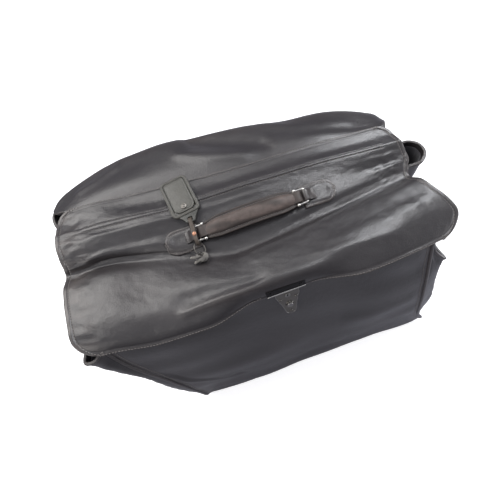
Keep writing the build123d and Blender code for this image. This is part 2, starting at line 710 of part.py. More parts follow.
def shield_outline():
    """Shield: straight top, sides drawn in, small round foot."""
    half = SHIELD_WIDTH / 2
    foot_x, foot_y = SHIELD_FOOT
    with BuildLine() as outline:
        Line((-half, SHIELD_TOP), (half, SHIELD_TOP))
        Line((half, SHIELD_TOP), (half, SHIELD_SHOULDER))
        ThreePointArc((half, SHIELD_SHOULDER), SHIELD_WAIST, (foot_x, foot_y))
        ThreePointArc((foot_x, foot_y), (0, foot_y - 6.0), (-foot_x, foot_y))
        ThreePointArc((-foot_x, foot_y), (-SHIELD_WAIST[0], SHIELD_WAIST[1]), (-half, SHIELD_SHOULDER))
        Line((-half, SHIELD_SHOULDER), (-half, SHIELD_TOP))
    make_face(outline.edges())


def make_lock_plate():
    """Shield-shaped front plate, on a spacer foot below the case."""
    with BuildPart() as lock_plate:
        with BuildSketch(lock_plane(CASE_DEPTH + FIT)):
            shield_outline()
            with Locations((0, BARREL_Y)):
                Circle(BARREL_RADIUS + FIT, mode=Mode.SUBTRACT)
            with Locations((0, BUTTON_Y)):
                Circle(BUTTON_RADIUS + 0.06, mode=Mode.SUBTRACT)
        extrude(amount=PLATE)
        with BuildSketch(lock_plane(FIT)):
            with Locations(RIVET_SPOTS[2]):
                Circle(FOOT_RADIUS)
        extrude(amount=CASE_DEPTH)
        with Locations(lock_plane(9)):
            with Locations(*RIVET_SPOTS):
                Hole(RIVET_RADIUS + FIT, depth=14)
        outer_face = lock_plate.faces().filter_by(lambda f: f.normal_at().Y < -0.9).sort_by(Axis.Y)[0]
        chamfer(outer_face.outer_wire().edges(), 0.35)
    finish(lock_plate, "lock_plate")


def make_lock_backing():
    """Inside plate and the three rivets that clamp the lock to the leather."""
    behind = -LEATHER - FRONT_STIFFENER[1] - 2 * GAP
    with BuildPart() as lock_backing_plate:
        with BuildSketch(lock_plane(behind)):
            with Locations((0, -2)):
                RectangleRounded(*BACKING_SIZE, 3)
            with Locations(*RIVET_SPOTS):
                Circle(RIVET_RADIUS + FIT, mode=Mode.SUBTRACT)
        extrude(amount=-BACKING)
    finish(lock_backing_plate, "lock_backing_plate")

    inner = behind - BACKING
    with BuildPart() as lock_rivets:
        with BuildSketch(lock_plane(inner - 0.8)):
            with Locations(*RIVET_SPOTS):
                Circle(RIVET_RADIUS + 1.0)
        extrude(amount=0.75)
        with BuildSketch(lock_plane(inner - 0.4)):
            with Locations(*RIVET_SPOTS):
                Circle(RIVET_RADIUS)
        extrude(amount=CASE_DEPTH + PLATE + 0.1 - inner + 0.5)
        with BuildSketch(lock_plane(CASE_DEPTH + PLATE + 0.1)):
            with Locations(*RIVET_SPOTS):
                Circle(RIVET_RADIUS + 0.8)
        extrude(amount=0.7)
    finish(lock_rivets, "lock_rivets")


def make_lock_works():
    """Push button, catch and leaf spring in the hollow, and the key barrel above them."""
    seat = CASE_DEPTH - BUTTON_SEAT
    with BuildPart() as lock_button:
        with BuildSketch(lock_plane(seat)):
            with Locations((0, BUTTON_Y)):
                Circle(BUTTON_RADIUS)
        extrude(amount=BUTTON_SEAT + PLATE + BUTTON_PROUD)
        fillet(lock_button.faces().sort_by(Axis.Y)[0].edges(), 1.0)
        with BuildSketch(lock_plane(seat)):
            with Locations((0, BUTTON_Y)):
                Circle(1.6)
        extrude(amount=SPRING_TOP + BUTTON_TRAVEL + 0.1 - seat)
    finish(lock_button, "lock_button")

    with BuildPart() as lock_catch:
        with BuildSketch(lock_plane(1.9)):
            with Locations((0, 4.0)):
                Rectangle(*CATCH_SIZE)
        extrude(amount=1.8)
    finish(lock_catch, "lock_catch")

    with BuildPart() as lock_spring:
        with BuildSketch(lock_plane(SPRING_TOP)):
            with Locations((0, BUTTON_Y)):
                RectangleRounded(4.0, 11.0, 1.5)
        extrude(amount=-SPRING)
    finish(lock_spring, "lock_spring")

    with BuildPart() as lock_barrel:
        with BuildSketch(lock_plane(1.0)):
            with Locations((0, BARREL_Y)):
                Circle(BARREL_RADIUS)
        extrude(amount=CASE_DEPTH + PLATE + 0.6 - 1.0)
        with BuildSketch(lock_plane(3.0)):
            with Locations((0, BARREL_Y)):
                Rectangle(*KEYWAY)
        extrude(amount=8, mode=Mode.SUBTRACT)
    finish(lock_barrel, "lock_barrel")


def make_lock_bar():
    """Channel that grips the flap's edge, with two prongs that drop into the case."""
    back_out = BAR_OUT - LEATHER - 2 * GAP - PLATE
    with BuildPart() as lock_bar:
        with BuildSketch(lock_plane(BAR_OUT)):
            with Locations((0, BAR_LOW + BAR_HEIGHT / 2)):
                RectangleRounded(BAR_WIDTH, BAR_HEIGHT, 1.5)
        extrude(amount=PLATE)
        with BuildSketch(lock_plane(back_out)):
            with Locations((0, BAR_LOW + BAR_HEIGHT / 2 - 1)):
                Rectangle(BAR_WIDTH - 4, BAR_HEIGHT - 2)
        extrude(amount=PLATE)
        with BuildSketch(lock_plane(back_out)):
            with Locations((0, BAR_LOW + PLATE / 2)):
                Rectangle(BAR_WIDTH - 4, PLATE)
        extrude(amount=BAR_OUT + PLATE - back_out)
        with BuildSketch(lock_plane(back_out)):
            for side in (-1, 1):
                with Locations((side * PRONG_X, BAR_LOW - PRONG_LENGTH / 2 + 0.2)):
                    Rectangle(PRONG_WIDTH, PRONG_LENGTH + 0.4)
        extrude(amount=PLATE)
        with Locations(lock_plane(9)):
            with Locations(*BAR_RIVET_SPOTS):
                Hole(BAR_RIVET_RADIUS + 0.1, depth=12)
    finish(lock_bar, "lock_bar")

    with BuildPart() as bar_rivets:
        with BuildSketch(lock_plane(back_out - 0.55)):
            with Locations(*BAR_RIVET_SPOTS):
                Circle(BAR_RIVET_RADIUS + 0.9)
        extrude(amount=0.5)
        with BuildSketch(lock_plane(back_out - 0.3)):
            with Locations(*BAR_RIVET_SPOTS):
                Circle(BAR_RIVET_RADIUS)
        extrude(amount=BAR_OUT + PLATE - back_out + 0.5)
        with BuildSketch(lock_plane(BAR_OUT + PLATE + 0.05)):
            with Locations(*BAR_RIVET_SPOTS):
                Circle(BAR_RIVET_RADIUS + 0.9)
        extrude(amount=0.5)
    finish(bar_rivets, "bar_rivets")


make_base()
make_front_panel()
make_back_panel()
make_gusset(-1, "gusset_left")
make_gusset(1, "gusset_right")
make_lining()
make_stiffeners()
make_flap()
make_chape(-1, "chape_left")
make_chape(1, "chape_right")
make_ring(-1, "ring_left")
make_ring(1, "ring_right")
make_handle()
make_tag_strap()
make_tag()
make_key_ring()
make_key("key_1", KEY_RING_HEIGHT - KEY_THICK / 2, STRAP_X, KEY_BOWS_X[0], 200)
make_key("key_2", KEY_RING_HEIGHT + KEY_THICK / 2 + 0.3, STRAP_X - 1.8, KEY_BOWS_X[1], 165)
make_lock_case()
make_lock_plate()
make_lock_backing()
make_lock_works()
make_lock_bar()
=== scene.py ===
import math
import random

import bpy
import numpy as np
from mathutils import Matrix, Vector


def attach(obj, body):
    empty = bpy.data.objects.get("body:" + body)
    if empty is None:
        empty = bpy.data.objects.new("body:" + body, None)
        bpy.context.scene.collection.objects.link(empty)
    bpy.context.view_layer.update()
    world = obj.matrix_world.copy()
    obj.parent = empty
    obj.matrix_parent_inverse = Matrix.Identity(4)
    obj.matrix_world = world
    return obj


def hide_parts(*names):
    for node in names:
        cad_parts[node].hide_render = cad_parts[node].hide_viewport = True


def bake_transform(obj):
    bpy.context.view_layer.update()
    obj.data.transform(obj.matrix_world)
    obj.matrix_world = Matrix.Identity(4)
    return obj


# Soft leather doctor bag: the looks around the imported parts.
# Shapes are written in millimetres in the frame's axes and turned into metres in build().
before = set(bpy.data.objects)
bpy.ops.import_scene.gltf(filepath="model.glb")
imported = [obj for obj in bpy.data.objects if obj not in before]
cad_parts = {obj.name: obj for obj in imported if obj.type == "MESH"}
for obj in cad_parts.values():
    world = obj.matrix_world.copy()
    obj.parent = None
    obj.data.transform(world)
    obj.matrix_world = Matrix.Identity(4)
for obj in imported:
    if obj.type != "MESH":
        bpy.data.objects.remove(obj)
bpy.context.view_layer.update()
MM = 0.001
LEATHER = 3.4             # thickness of panels and flap

random.seed(7)


# ---------------------------------------------------------------- curves and grids
def spline(knots, values, at, gentle=False):
    """Cubic through values at knots. A gentle one never swings past its values."""
    knots = np.asarray(knots, float)
    values = np.asarray(values, float)
    flat = values.reshape(len(knots), -1)
    gap = np.diff(knots)[:, None]
    slope = np.diff(flat, axis=0) / gap
    before, after = slope[:-1], slope[1:]
    tangent = np.empty_like(flat)
    tangent[0], tangent[-1] = slope[0], slope[-1]
    if gentle:
        total = before + after
        mean = np.divide(2 * before * after, total, out=np.zeros_like(total), where=np.abs(total) > 1e-9)
        tangent[1:-1] = np.where(before * after > 0, mean, 0)
    else:
        tangent[1:-1] = (before * gap[1:] + after * gap[:-1]) / (gap[1:] + gap[:-1])
    at = np.clip(np.asarray(at, float), knots[0], knots[-1])
    i = np.clip(np.searchsorted(knots, at, side="right") - 1, 0, len(knots) - 2)
    u = ((at - knots[i]) / gap[i, 0])[:, None]
    run = gap[i]
    result = (2 * u ** 3 - 3 * u ** 2 + 1) * flat[i] + (u ** 3 - 2 * u ** 2 + u) * run * tangent[i]
    result += (3 * u ** 2 - 2 * u ** 3) * flat[i + 1] + (u ** 3 - u ** 2) * run * tangent[i + 1]
    return result.reshape((len(at),) + values.shape[1:])


def unit(v):
    return v / np.maximum(np.linalg.norm(v, axis=-1, keepdims=True), 1e-9)


def along_x(points, shares):
    """Line through points whose x only grows, at shares of its width."""
    points = np.array(points, float)
    x = points[0, 0] + (points[-1, 0] - points[0, 0]) * np.asarray(shares)
    return spline(points[:, 0], points, x, gentle=True)


def along_path(points, shares):
    """Line through points at shares of its length."""
    points = np.array(points, float)
    run = np.r_[0, np.cumsum(np.linalg.norm(np.diff(points, axis=0), axis=1) ** 0.75)]
    return spline(run / run[-1], points, shares)


def resample(points, pitch, closed=False):
    """Evenly spaced points on a polyline."""
    points = np.array(points, float)
    if closed:
        points = np.r_[points, points[:1]]
    run = np.r_[0, np.cumsum(np.linalg.norm(np.diff(points, axis=0), axis=1))]
    count = max(2, int(round(run[-1] / pitch)) + (0 if closed else 1))
    at = np.linspace(0, run[-1], count, endpoint=not closed)
    return np.stack([np.interp(at, run, points[:, k]) for k in range(points.shape[1])], axis=1)


def normals_of(grid, flip=False):
    across = np.gradient(grid, axis=1)
    down = np.gradient(grid, axis=0)
    normal = unit(np.cross(down, across))
    return -normal if flip else normal


def ripples(p, scale, seed):
    """Smooth random field of about unit size. scale is its wavelength along each axis, in mm."""
    waves = 24
    source = np.random.default_rng(seed)
    total = np.zeros(p.shape[:-1])
    for _ in range(waves):
        way = unit(source.normal(size=3)) * source.uniform(0.6, 1.6)
        phase = source.uniform(0, 2 * math.pi)
        total += np.sin((p / np.array(scale)) @ way * 2 * math.pi + phase)
    return total * math.sqrt(2 / waves)


def bump(value, centre, width):
    return np.exp(-((value - centre) / width) ** 2)


def spaced(length, step, near_start=(), near_end=(), marks=()):
    """Positions from 0 to length: coarse steps, and finer ones at both ends and round marks."""
    ends = list(near_start) + [length - e for e in near_end]
    fine = [m + d for m in marks for d in (-1.6, -1.1, -0.7, -0.35, 0, 0.35, 0.7, 1.1, 1.6)]
    first = max(near_start, default=0)
    last = length - max(near_end, default=0)
    coarse = np.linspace(first, last, max(2, int((last - first) / step) + 1))
    kept = [c for c in coarse if all(abs(c - m) > 2.2 for m in marks)]
    found = sorted(set(np.round(ends + fine + kept + [0, length], 3)))
    clean = [found[0]]
    for value in found[1:]:
        if value - clean[-1] > 0.12:
            clean.append(value)
    clean[-1] = length
    return np.array(clean)


# ---------------------------------------------------------------- mesh building
def build(name, points, faces, material, normals=None, smooth=True):
    """New mesh object from points in millimetres."""
    mesh = bpy.data.meshes.new(name)
    mesh.from_pydata((np.asarray(points) * MM).tolist(), [], [list(map(int, f)) for f in faces])
    materials = material if isinstance(material, (list, tuple)) else [material]
    for one in materials:
        mesh.materials.append(one)
    mesh.polygons.foreach_set("use_smooth", [smooth] * len(mesh.polygons))
    mesh.update()
    if normals is not None:
        mesh.normals_split_custom_set_from_vertices(np.asarray(normals).tolist())
    obj = bpy.data.objects.new(name, mesh)
    bpy.context.scene.collection.objects.link(obj)
    return obj


def add_wear_and_highlight(obj, values):
    """Rubbed places, and the painted highlight on the flap's crest, 0 to 1 per point, read by the leather
    materials.
    """
    attribute = obj.data.attributes.new("wear_and_highlight", "FLOAT", "POINT")
    attribute.data.foreach_set("value", np.asarray(values, np.float32))


def outer_loop(rows, cols):
    """Grid indices round the border, starting along row 0."""
    top = [(0, j) for j in range(cols)]
    right = [(i, cols - 1) for i in range(1, rows)]
    bottom = [(rows - 1, j) for j in range(cols - 2, -1, -1)]
    left = [(i, 0) for i in range(rows - 2, 0, -1)]
    return np.array(top + right + bottom + left)


def outward(grid, normal, loop, flat_sides):
    """Direction square to the border, in the surface, at each point of the loop."""
    rows, cols = grid.shape[:2]
    out = np.zeros((len(loop), 3))
    for k, (i, j) in enumerate(loop):
        push = np.zeros(3)
        if i == 0 and "top" not in flat_sides:
            push += unit(grid[0, j] - grid[1, j])
        if i == rows - 1 and "bottom" not in flat_sides:
            push += unit(grid[-1, j] - grid[-2, j])
        if j == 0 and "left" not in flat_sides:
            push += unit(grid[i, 0] - grid[i, 1])
        if j == cols - 1 and "right" not in flat_sides:
            push += unit(grid[i, -1] - grid[i, -2])
        push -= normal[i, j] * np.dot(push, normal[i, j])
        size = np.linalg.norm(push)
        out[k] = push / size if size > 1e-6 else 0
    return out


def shell(name, grid, thickness, material, flip=False, flat_sides=(), wear_and_highlight=None, under=None, normals=None):
    """Sheet with thickness and rounded edges.

    The grid is its outer face, and normals that are given are kept for shading.
    """
    rows, cols = grid.shape[:2]
    normal = normals_of(grid, flip) if normals is None else normals
    drop = -normal * thickness if under is None else under
    loop = outer_loop(rows, cols)
    out = outward(grid, normal, loop, flat_sides)
    edge = grid[loop[:, 0], loop[:, 1]]
    edge_drop = drop[loop[:, 0], loop[:, 1]]
    half = np.linalg.norm(edge_drop, axis=1, keepdims=True) / 2
    turns = (0.25 * math.pi, 0.5 * math.pi, 0.75 * math.pi)
    rings = [edge + edge_drop * (1 - math.cos(a)) / 2 + out * half * math.sin(a) for a in turns]
    count = rows * cols
    points = np.concatenate([grid.reshape(-1, 3), (grid + drop).reshape(-1, 3)] + rings)
    index = np.arange(count).reshape(rows, cols)
    quads = np.stack([index[:-1, :-1], index[1:, :-1], index[1:, 1:], index[:-1, 1:]], axis=-1).reshape(-1, 4)
    ids = index[loop[:, 0], loop[:, 1]]
    chain = [ids]
    chain += [2 * count + k * len(loop) + np.arange(len(loop)) for k in range(len(rings))]
    chain.append(ids + count)
    faces = [quads, quads[:, ::-1] + count]
    for a, b in zip(chain[:-1], chain[1:]):
        faces.append(np.stack([a, np.roll(a, -1), np.roll(b, -1), b], axis=-1))
    faces = np.concatenate(faces)
    if flip:
        faces = faces[:, ::-1]
    given = None
    if normals is not None:
        rim = [unit(normal[loop[:, 0], loop[:, 1]] * math.cos(a) + out * math.sin(a)) for a in turns]
        given = np.concatenate([normal.reshape(-1, 3), -normal.reshape(-1, 3)] + rim)
    obj = build(name, points, faces, material, given)
    rub_and_highlight = np.zeros(len(points))
    if wear_and_highlight is not None:
        rub_and_highlight[:count] = wear_and_highlight.reshape(-1)
        rub_and_highlight[2 * count:] = 0.5
    add_wear_and_highlight(obj, rub_and_highlight)
    if isinstance(material, (list, tuple)):
        inner = np.zeros(len(faces), int)
        inner[len(quads):2 * len(quads)] = 1
        obj.data.polygons.foreach_set("material_index", inner)
    return obj


def skin(name, loops, material, ring=False):
    """Joins closed loops of points one after another. ring also joins the last to the first."""
    size = len(loops[0])
    ids = [np.arange(size) + k * size for k in range(len(loops))]
    pairs = list(zip(ids[:-1], ids[1:])) + ([(ids[-1], ids[0])] if ring else [])
    faces = []
    for a, b in pairs:
        faces += np.stack([a, np.roll(a, -1), np.roll(b, -1), b], axis=-1).tolist()
    if not ring:
        faces.append(ids[0][::-1].tolist())
        faces.append(ids[-1].tolist())
    obj = build(name, np.concatenate(loops), faces, material)
    add_wear_and_highlight(obj, np.full(size * len(loops), 0.35))
    return obj


def sweep(name, path, section, side, material, closed=False, widths=None, sizes=None):
    """Section of (aside, out) offsets carried along a path. side is the direction the section lies across."""
    path = np.array(path, float)
    if closed:
        tangent = unit(np.roll(path, -1, axis=0) - np.roll(path, 1, axis=0))
    else:
        tangent = unit(np.gradient(path, axis=0))
    lateral = np.broadcast_to(np.array(side, float), path.shape)
    lateral = unit(lateral - tangent * np.sum(lateral * tangent, axis=1, keepdims=True))
    out = np.cross(lateral, tangent)
    wide = np.ones(len(path)) if widths is None else widths
    size = np.ones(len(path)) if sizes is None else sizes
    loops = [p + (lat * section[:, :1] * w + o * section[:, 1:]) * k
             for p, lat, o, w, k in zip(path, lateral, out, wide, size)]
    return skin(name, loops, material, ring=closed)


def circle(radius, count=12):
    a = np.linspace(0, 2 * math.pi, count, endpoint=False)
    return np.stack([np.cos(a), np.sin(a)], axis=1) * radius


def tube(name, path, radius, material, closed=False, sizes=None):
    path = np.array(path, float)
    lean = np.array([0.31, 0.17, 0.93] if abs(unit(path[-1] - path[0])[2]) < 0.8 else [0.9, 0.35, 0.2])
    return sweep(name, path, circle(radius, 10), lean, material, closed, sizes=sizes)


def rounded(width, height, radius, steps=6):
    """Outline of a rounded rectangle, counter-clockwise."""
    radii = radius if isinstance(radius, (list, tuple)) else [radius] * 4
    points = []
    corners = ((1, 1), (-1, 1), (-1, -1), (1, -1))
    for k, ((sx, sy), r) in enumerate(zip(corners, radii)):
        for a in np.linspace(k * math.pi / 2, (k + 1) * math.pi / 2, steps):
            points.append((sx * (width / 2 - r) + r * math.cos(a), sy * (height / 2 - r) + r * math.sin(a)))
    return np.array(points)


def inset(outline, distance):
    """Closed counter-clockwise outline moved inwards."""
    ahead = unit(np.roll(outline, -1, axis=0) - np.roll(outline, 1, axis=0))
    return outline + np.stack([-ahead[:, 1], ahead[:, 0]], axis=1) * distance


def pad(name, outline, steps, place, material):
    """Leaf with an outline and a section of (inset, height) steps, from its underside to its middle."""
    loops = []
    for distance, height in steps:
        ring = inset(outline, distance)
        loops.append(place(np.c_[ring, np.full(len(ring), height)]))
    return skin(name, loops, material)


def lathe(name, profile, place, material, count=32):
    """Round piece from (radius, height) steps."""
    loops = [place(np.c_[circle(max(r, 0.02), count), np.full(count, h)]) for r, h in profile]
    return skin(name, loops, material)


def plate(name, outlines, low, high, place, material, bevel=0.25):
    """Flat metal or leather cut to outlines, holes included, with rolled edges."""
    curve = bpy.data.curves.new(name, "CURVE")
    curve.dimensions = "2D"
    curve.fill_mode = "BOTH"
    curve.extrude = max((high - low) / 2 - bevel, 0.01)
    curve.bevel_depth = bevel
    curve.bevel_resolution = 2
    curve.offset = -bevel
    for outline in outlines:
        line = curve.splines.new("POLY")
        line.points.add(len(outline) - 1)
        line.points.foreach_set("co", np.c_[outline, np.zeros(len(outline)), np.ones(len(outline))].ravel())
        line.use_cyclic_u = True
    flat = bpy.data.objects.new(name + "_curve", curve)
    bpy.context.scene.collection.objects.link(flat)
    mesh = bpy.data.meshes.new_from_object(flat.evaluated_get(bpy.context.evaluated_depsgraph_get()))
    bpy.data.objects.remove(flat)
    points = np.array([v.co for v in mesh.vertices], float)
    points[:, 2] += (low + high) / 2
    obj = build(name, place(points), [p.vertices for p in mesh.polygons], material)
    bpy.data.meshes.remove(mesh)
    weld(obj)
    return obj


def weld(obj):
    """Merges doubled points, keeps edges sharper than 35 degrees."""
    import bmesh
    work = bmesh.new()
    work.from_mesh(obj.data)
    bmesh.ops.remove_doubles(work, verts=work.verts, dist=1e-6)
    bmesh.ops.recalc_face_normals(work, faces=work.faces)
    for edge in work.edges:
        edge.smooth = edge.calc_face_angle(0) < math.radians(35)
    work.to_mesh(obj.data)
    work.free()


def join(name, objects):
    """One object from several."""
    bpy.ops.object.select_all(action="DESELECT")
    for obj in objects:
        obj.select_set(True)
    bpy.context.view_layer.objects.active = objects[0]
    bpy.ops.object.join()
    objects[0].name = name
    objects[0].data.name = name
    return objects[0]


def stand_in(piece, body, slot, *nodes):
    """Lets a piece ride on a body in place of the CAD nodes it stands for."""
    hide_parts(*nodes)
    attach(piece, body)


def stitches(name, lines, material, pitch=3.4, length=2.5, radius=0.42):
    """Rows of sewing stitches. Each line is (points, normals) on a surface."""
    ring = circle(1.0, 6)
    along = np.array([-0.5, -0.36, 0.0, 0.36, 0.5]) * length
    size = np.array([0.35, 0.95, 1.0, 0.95, 0.35]) * radius
    lift = np.array([-0.7, 0.15, 0.35, 0.15, -0.7]) * radius
    points, faces = [], []
    for line, normal in lines:
        both = resample(np.c_[line, normal], pitch)
        centre, up = both[:, :3], unit(both[:, 3:])
        ahead = unit(np.gradient(centre, axis=0))
        side = np.cross(up, ahead)
        for c, u, t, s in zip(centre, up, ahead, side):
            t = unit(t + s * random.uniform(-0.06, 0.06))
            base = len(points) * 30
            rows = [c + t * a + u * h + (s * ring[:, :1] + u * ring[:, 1:]) * r
                    for a, h, r in zip(along, lift, size)]
            points.append(np.concatenate(rows))
            for k in range(4):
                for m in range(6):
                    n = (m + 1) % 6
                    faces.append((base + k * 6 + m, base + k * 6 + n, base + k * 6 + 6 + n,
                                  base + k * 6 + 6 + m))
            faces.append(tuple(base + m for m in range(5, -1, -1)))
            faces.append(tuple(base + 24 + m for m in range(6)))
    return build(name, np.concatenate(points), faces, material)


# ---------------------------------------------------------------- materials
def material(name):
    made = bpy.data.materials.new(name)
    made.use_nodes = True
    nodes = made.node_tree.nodes
    return made, nodes, made.node_tree.links, nodes["Principled BSDF"]


def node(nodes, kind, **values):
    made = nodes.new(kind)
    for key, value in values.items():
        if hasattr(made, key):
            setattr(made, key, value)
        else:
            made.inputs[key.replace("_", " ")].default_value = value
    return made


def leather(name, colour, rub_and_highlight_colour, roughness, grain=1.0, shine=0.32, polish_coat=0.0):
    """Grained leather with creases, rubbed edges and uneven polish; its rub colour also paints the highlight
    on the flap's crest.
    """
    made, nodes, links, surface = material(name)
    where = node(nodes, "ShaderNodeTexCoord")
    rub_and_highlight = node(nodes, "ShaderNodeAttribute", attribute_name="wear_and_highlight")
    cloudy = node(nodes, "ShaderNodeTexNoise", Scale=11.0, Detail=5.0, Roughness=0.6)
    mottle = node(nodes, "ShaderNodeTexNoise", Scale=140.0, Detail=4.0, Roughness=0.65)
    pebble = node(nodes, "ShaderNodeTexVoronoi", Scale=780.0)
    pebble.feature = "SMOOTH_F1"
    pores = node(nodes, "ShaderNodeTexNoise", Scale=2200.0, Detail=2.0)
    crease = node(nodes, "ShaderNodeTexVoronoi", Scale=95.0)
    crease.feature = "DISTANCE_TO_EDGE"
    for texture in (cloudy, mottle, pebble, pores):
        links.new(where.outputs["Object"], texture.inputs["Vector"])
    warp = node(nodes, "ShaderNodeMixRGB", Fac=0.06)
    links.new(where.outputs["Object"], warp.inputs["Color1"])
    links.new(mottle.outputs["Color"], warp.inputs["Color2"])
    links.new(warp.outputs["Color"], crease.inputs["Vector"])

    tone = node(nodes, "ShaderNodeMixRGB")
    tone.inputs["Color1"].default_value = (*[c * 0.82 for c in colour], 1)
    tone.inputs["Color2"].default_value = (*[c * 1.2 for c in colour], 1)
    spread = node(nodes, "ShaderNodeMapRange")
    for key, value in (("From Min", 0.35), ("From Max", 0.68)):
        spread.inputs[key].default_value = value
    links.new(cloudy.outputs["Fac"], spread.inputs["Value"])
    links.new(spread.outputs["Result"], tone.inputs["Fac"])
    # Per-point values mix in the lighter rub colour: real rubbing, and on the flap's crest a painted
    # highlight.
    rub_and_highlight_mask = node(nodes, "ShaderNodeMath", operation="MULTIPLY")
    links.new(rub_and_highlight.outputs["Fac"], rub_and_highlight_mask.inputs[0])
    links.new(mottle.outputs["Fac"], rub_and_highlight_mask.inputs[1])
    rub_and_highlight_mixed = node(nodes, "ShaderNodeMixRGB")
    rub_and_highlight_mixed.inputs["Color2"].default_value = (*rub_and_highlight_colour, 1)
    links.new(rub_and_highlight_mask.outputs["Value"], rub_and_highlight_mixed.inputs["Fac"])
    links.new(tone.outputs["Color"], rub_and_highlight_mixed.inputs["Color1"])
    links.new(rub_and_highlight_mixed.outputs["Color"], surface.inputs["Base Color"])

    polish = node(nodes, "ShaderNodeMapRange")
    for key, value in (("From Min", 0.3), ("From Max", 0.7), ("To Min", roughness - 0.08),
                       ("To Max", roughness + 0.10)):
        polish.inputs[key].default_value = value
    links.new(cloudy.outputs["Fac"], polish.inputs["Value"])
    links.new(polish.outputs["Result"], surface.inputs["Roughness"])
    surface.inputs["Specular IOR Level"].default_value = shine
    surface.inputs["Coat Weight"].default_value = polish_coat
    surface.inputs["Coat Roughness"].default_value = 0.20

    height = node(nodes, "ShaderNodeMath", operation="MULTIPLY_ADD")
    height.inputs[1].default_value = 0.5
    links.new(pores.outputs["Fac"], height.inputs[0])
    links.new(pebble.outputs["Distance"], height.inputs[2])
    fine = node(nodes, "ShaderNodeBump", Strength=0.28 * grain, Distance=0.0003)
    links.new(height.outputs["Value"], fine.inputs["Height"])
    lines = node(nodes, "ShaderNodeMapRange")
    lines.inputs["From Max"].default_value = 0.09
    links.new(crease.outputs["Distance"], lines.inputs["Value"])
    soft = node(nodes, "ShaderNodeBump", Strength=0.10 * grain, Distance=0.0005)
    links.new(lines.outputs["Result"], soft.inputs["Height"])
    links.new(fine.outputs["Normal"], soft.inputs["Normal"])
    hide = node(nodes, "ShaderNodeBump", Strength=0.30 * grain, Distance=0.0009)
    links.new(mottle.outputs["Fac"], hide.inputs["Height"])
    links.new(soft.outputs["Normal"], hide.inputs["Normal"])
    for socket in ("Normal", "Coat Normal"):
        links.new(hide.outputs["Normal"], surface.inputs[socket])
    return made


def cloth(name, colour):
    """Woven lining cloth."""
    made, nodes, links, surface = material(name)
    where = node(nodes, "ShaderNodeTexCoord")
    weave = node(nodes, "ShaderNodeTexWave", Scale=260.0, Distortion=0.6)
    cross = node(nodes, "ShaderNodeTexWave", Scale=260.0, Distortion=0.6, bands_direction="Z")
    both = node(nodes, "ShaderNodeMath", operation="MULTIPLY")
    for texture in (weave, cross):
        links.new(where.outputs["Object"], texture.inputs["Vector"])
    links.new(weave.outputs["Fac"], both.inputs[0])
    links.new(cross.outputs["Fac"], both.inputs[1])
    raised = node(nodes, "ShaderNodeBump", Strength=0.35, Distance=0.0004)
    links.new(both.outputs["Value"], raised.inputs["Height"])
    links.new(raised.outputs["Normal"], surface.inputs["Normal"])
    surface.inputs["Base Color"].default_value = (*colour, 1)
    surface.inputs["Roughness"].default_value = 0.85
    surface.inputs["Sheen Weight"].default_value = 0.3
    return made


def metal(name, colour, roughness, marks=0.12):
    """Plated metal with fingerprints and fine scratches."""
    made, nodes, links, surface = material(name)
    where = node(nodes, "ShaderNodeTexCoord")
    smear = node(nodes, "ShaderNodeTexNoise", Scale=160.0, Detail=6.0, Roughness=0.7)
    scratch = node(nodes, "ShaderNodeTexNoise", Scale=900.0, Detail=3.0)
    links.new(where.outputs["Object"], smear.inputs["Vector"])
    links.new(where.outputs["Object"], scratch.inputs["Vector"])
    spread = node(nodes, "ShaderNodeMapRange")
    for key, value in (("From Min", 0.3), ("From Max", 0.7), ("To Min", roughness),
                       ("To Max", roughness + marks)):
        spread.inputs[key].default_value = value
    links.new(smear.outputs["Fac"], spread.inputs["Value"])
    links.new(spread.outputs["Result"], surface.inputs["Roughness"])
    raised = node(nodes, "ShaderNodeBump", Strength=0.08, Distance=0.0002)
    links.new(scratch.outputs["Fac"], raised.inputs["Height"])
    links.new(raised.outputs["Normal"], surface.inputs["Normal"])
    surface.inputs["Base Color"].default_value = (*colour, 1)
    surface.inputs["Metallic"].default_value = 1.0
    return made


def plain(name, colour, roughness):
    made, nodes, links, surface = material(name)
    mottle = node(nodes, "ShaderNodeTexNoise", Scale=300.0, Detail=3.0)
    raised = node(nodes, "ShaderNodeBump", Strength=0.15, Distance=0.0002)
    links.new(mottle.outputs["Fac"], raised.inputs["Height"])
    links.new(raised.outputs["Normal"], surface.inputs["Normal"])
    surface.inputs["Base Color"].default_value = (*colour, 1)
    surface.inputs["Roughness"].default_value = roughness
    return made


# the rub colour marks rubbed places and also the painted highlight on the flap's crest
BLACK = leather("black_leather", (0.026, 0.023, 0.024), (0.15, 0.125, 0.11), 0.38, grain=1.2, shine=0.5,
                polish_coat=0.6)
UNDER = leather("flap_lining_leather", (0.030, 0.026, 0.025), (0.07, 0.06, 0.055), 0.6, shine=0.2)
GRIP = leather("handle_leather", (0.035, 0.030, 0.028), (0.17, 0.13, 0.115), 0.45, grain=0.7)
TAG = leather("tag_leather", (0.062, 0.062, 0.055), (0.19, 0.18, 0.15), 0.38, grain=1.5, polish_coat=0.3)
STRAP = leather("strap_leather", (0.075, 0.062, 0.052), (0.18, 0.14, 0.11), 0.45, grain=0.8)
THREAD = plain("thread", (0.17, 0.155, 0.145), 0.6)
CLOTH = cloth("lining_cloth", (0.060, 0.058, 0.066))
BOARD = plain("stiff_board", (0.10, 0.09, 0.08), 0.85)
PAPER = plain("paper_card", (0.72, 0.69, 0.62), 0.8)
NICKEL = metal("nickel", (0.70, 0.68, 0.64), 0.20)
GUN = metal("dark_metal", (0.19, 0.18, 0.165), 0.26, 0.2)
PAINT = metal("painted_metal", (0.030, 0.029, 0.030), 0.32)
# near-black paint standing in for the shade seen inside the keyhole
KEYHOLE_SHADE = plain("painted_keyhole_shade", (0.006, 0.006, 0.006), 0.7)
STEEL = metal("spring_steel", (0.30, 0.29, 0.28), 0.28)
COPPER = metal("copper", (0.56, 0.30, 0.20), 0.34)


# ---------------------------------------------------------------- flap
STATIONS = [-238, -200, -150, -95, -35, 30, 95, 155, 215]
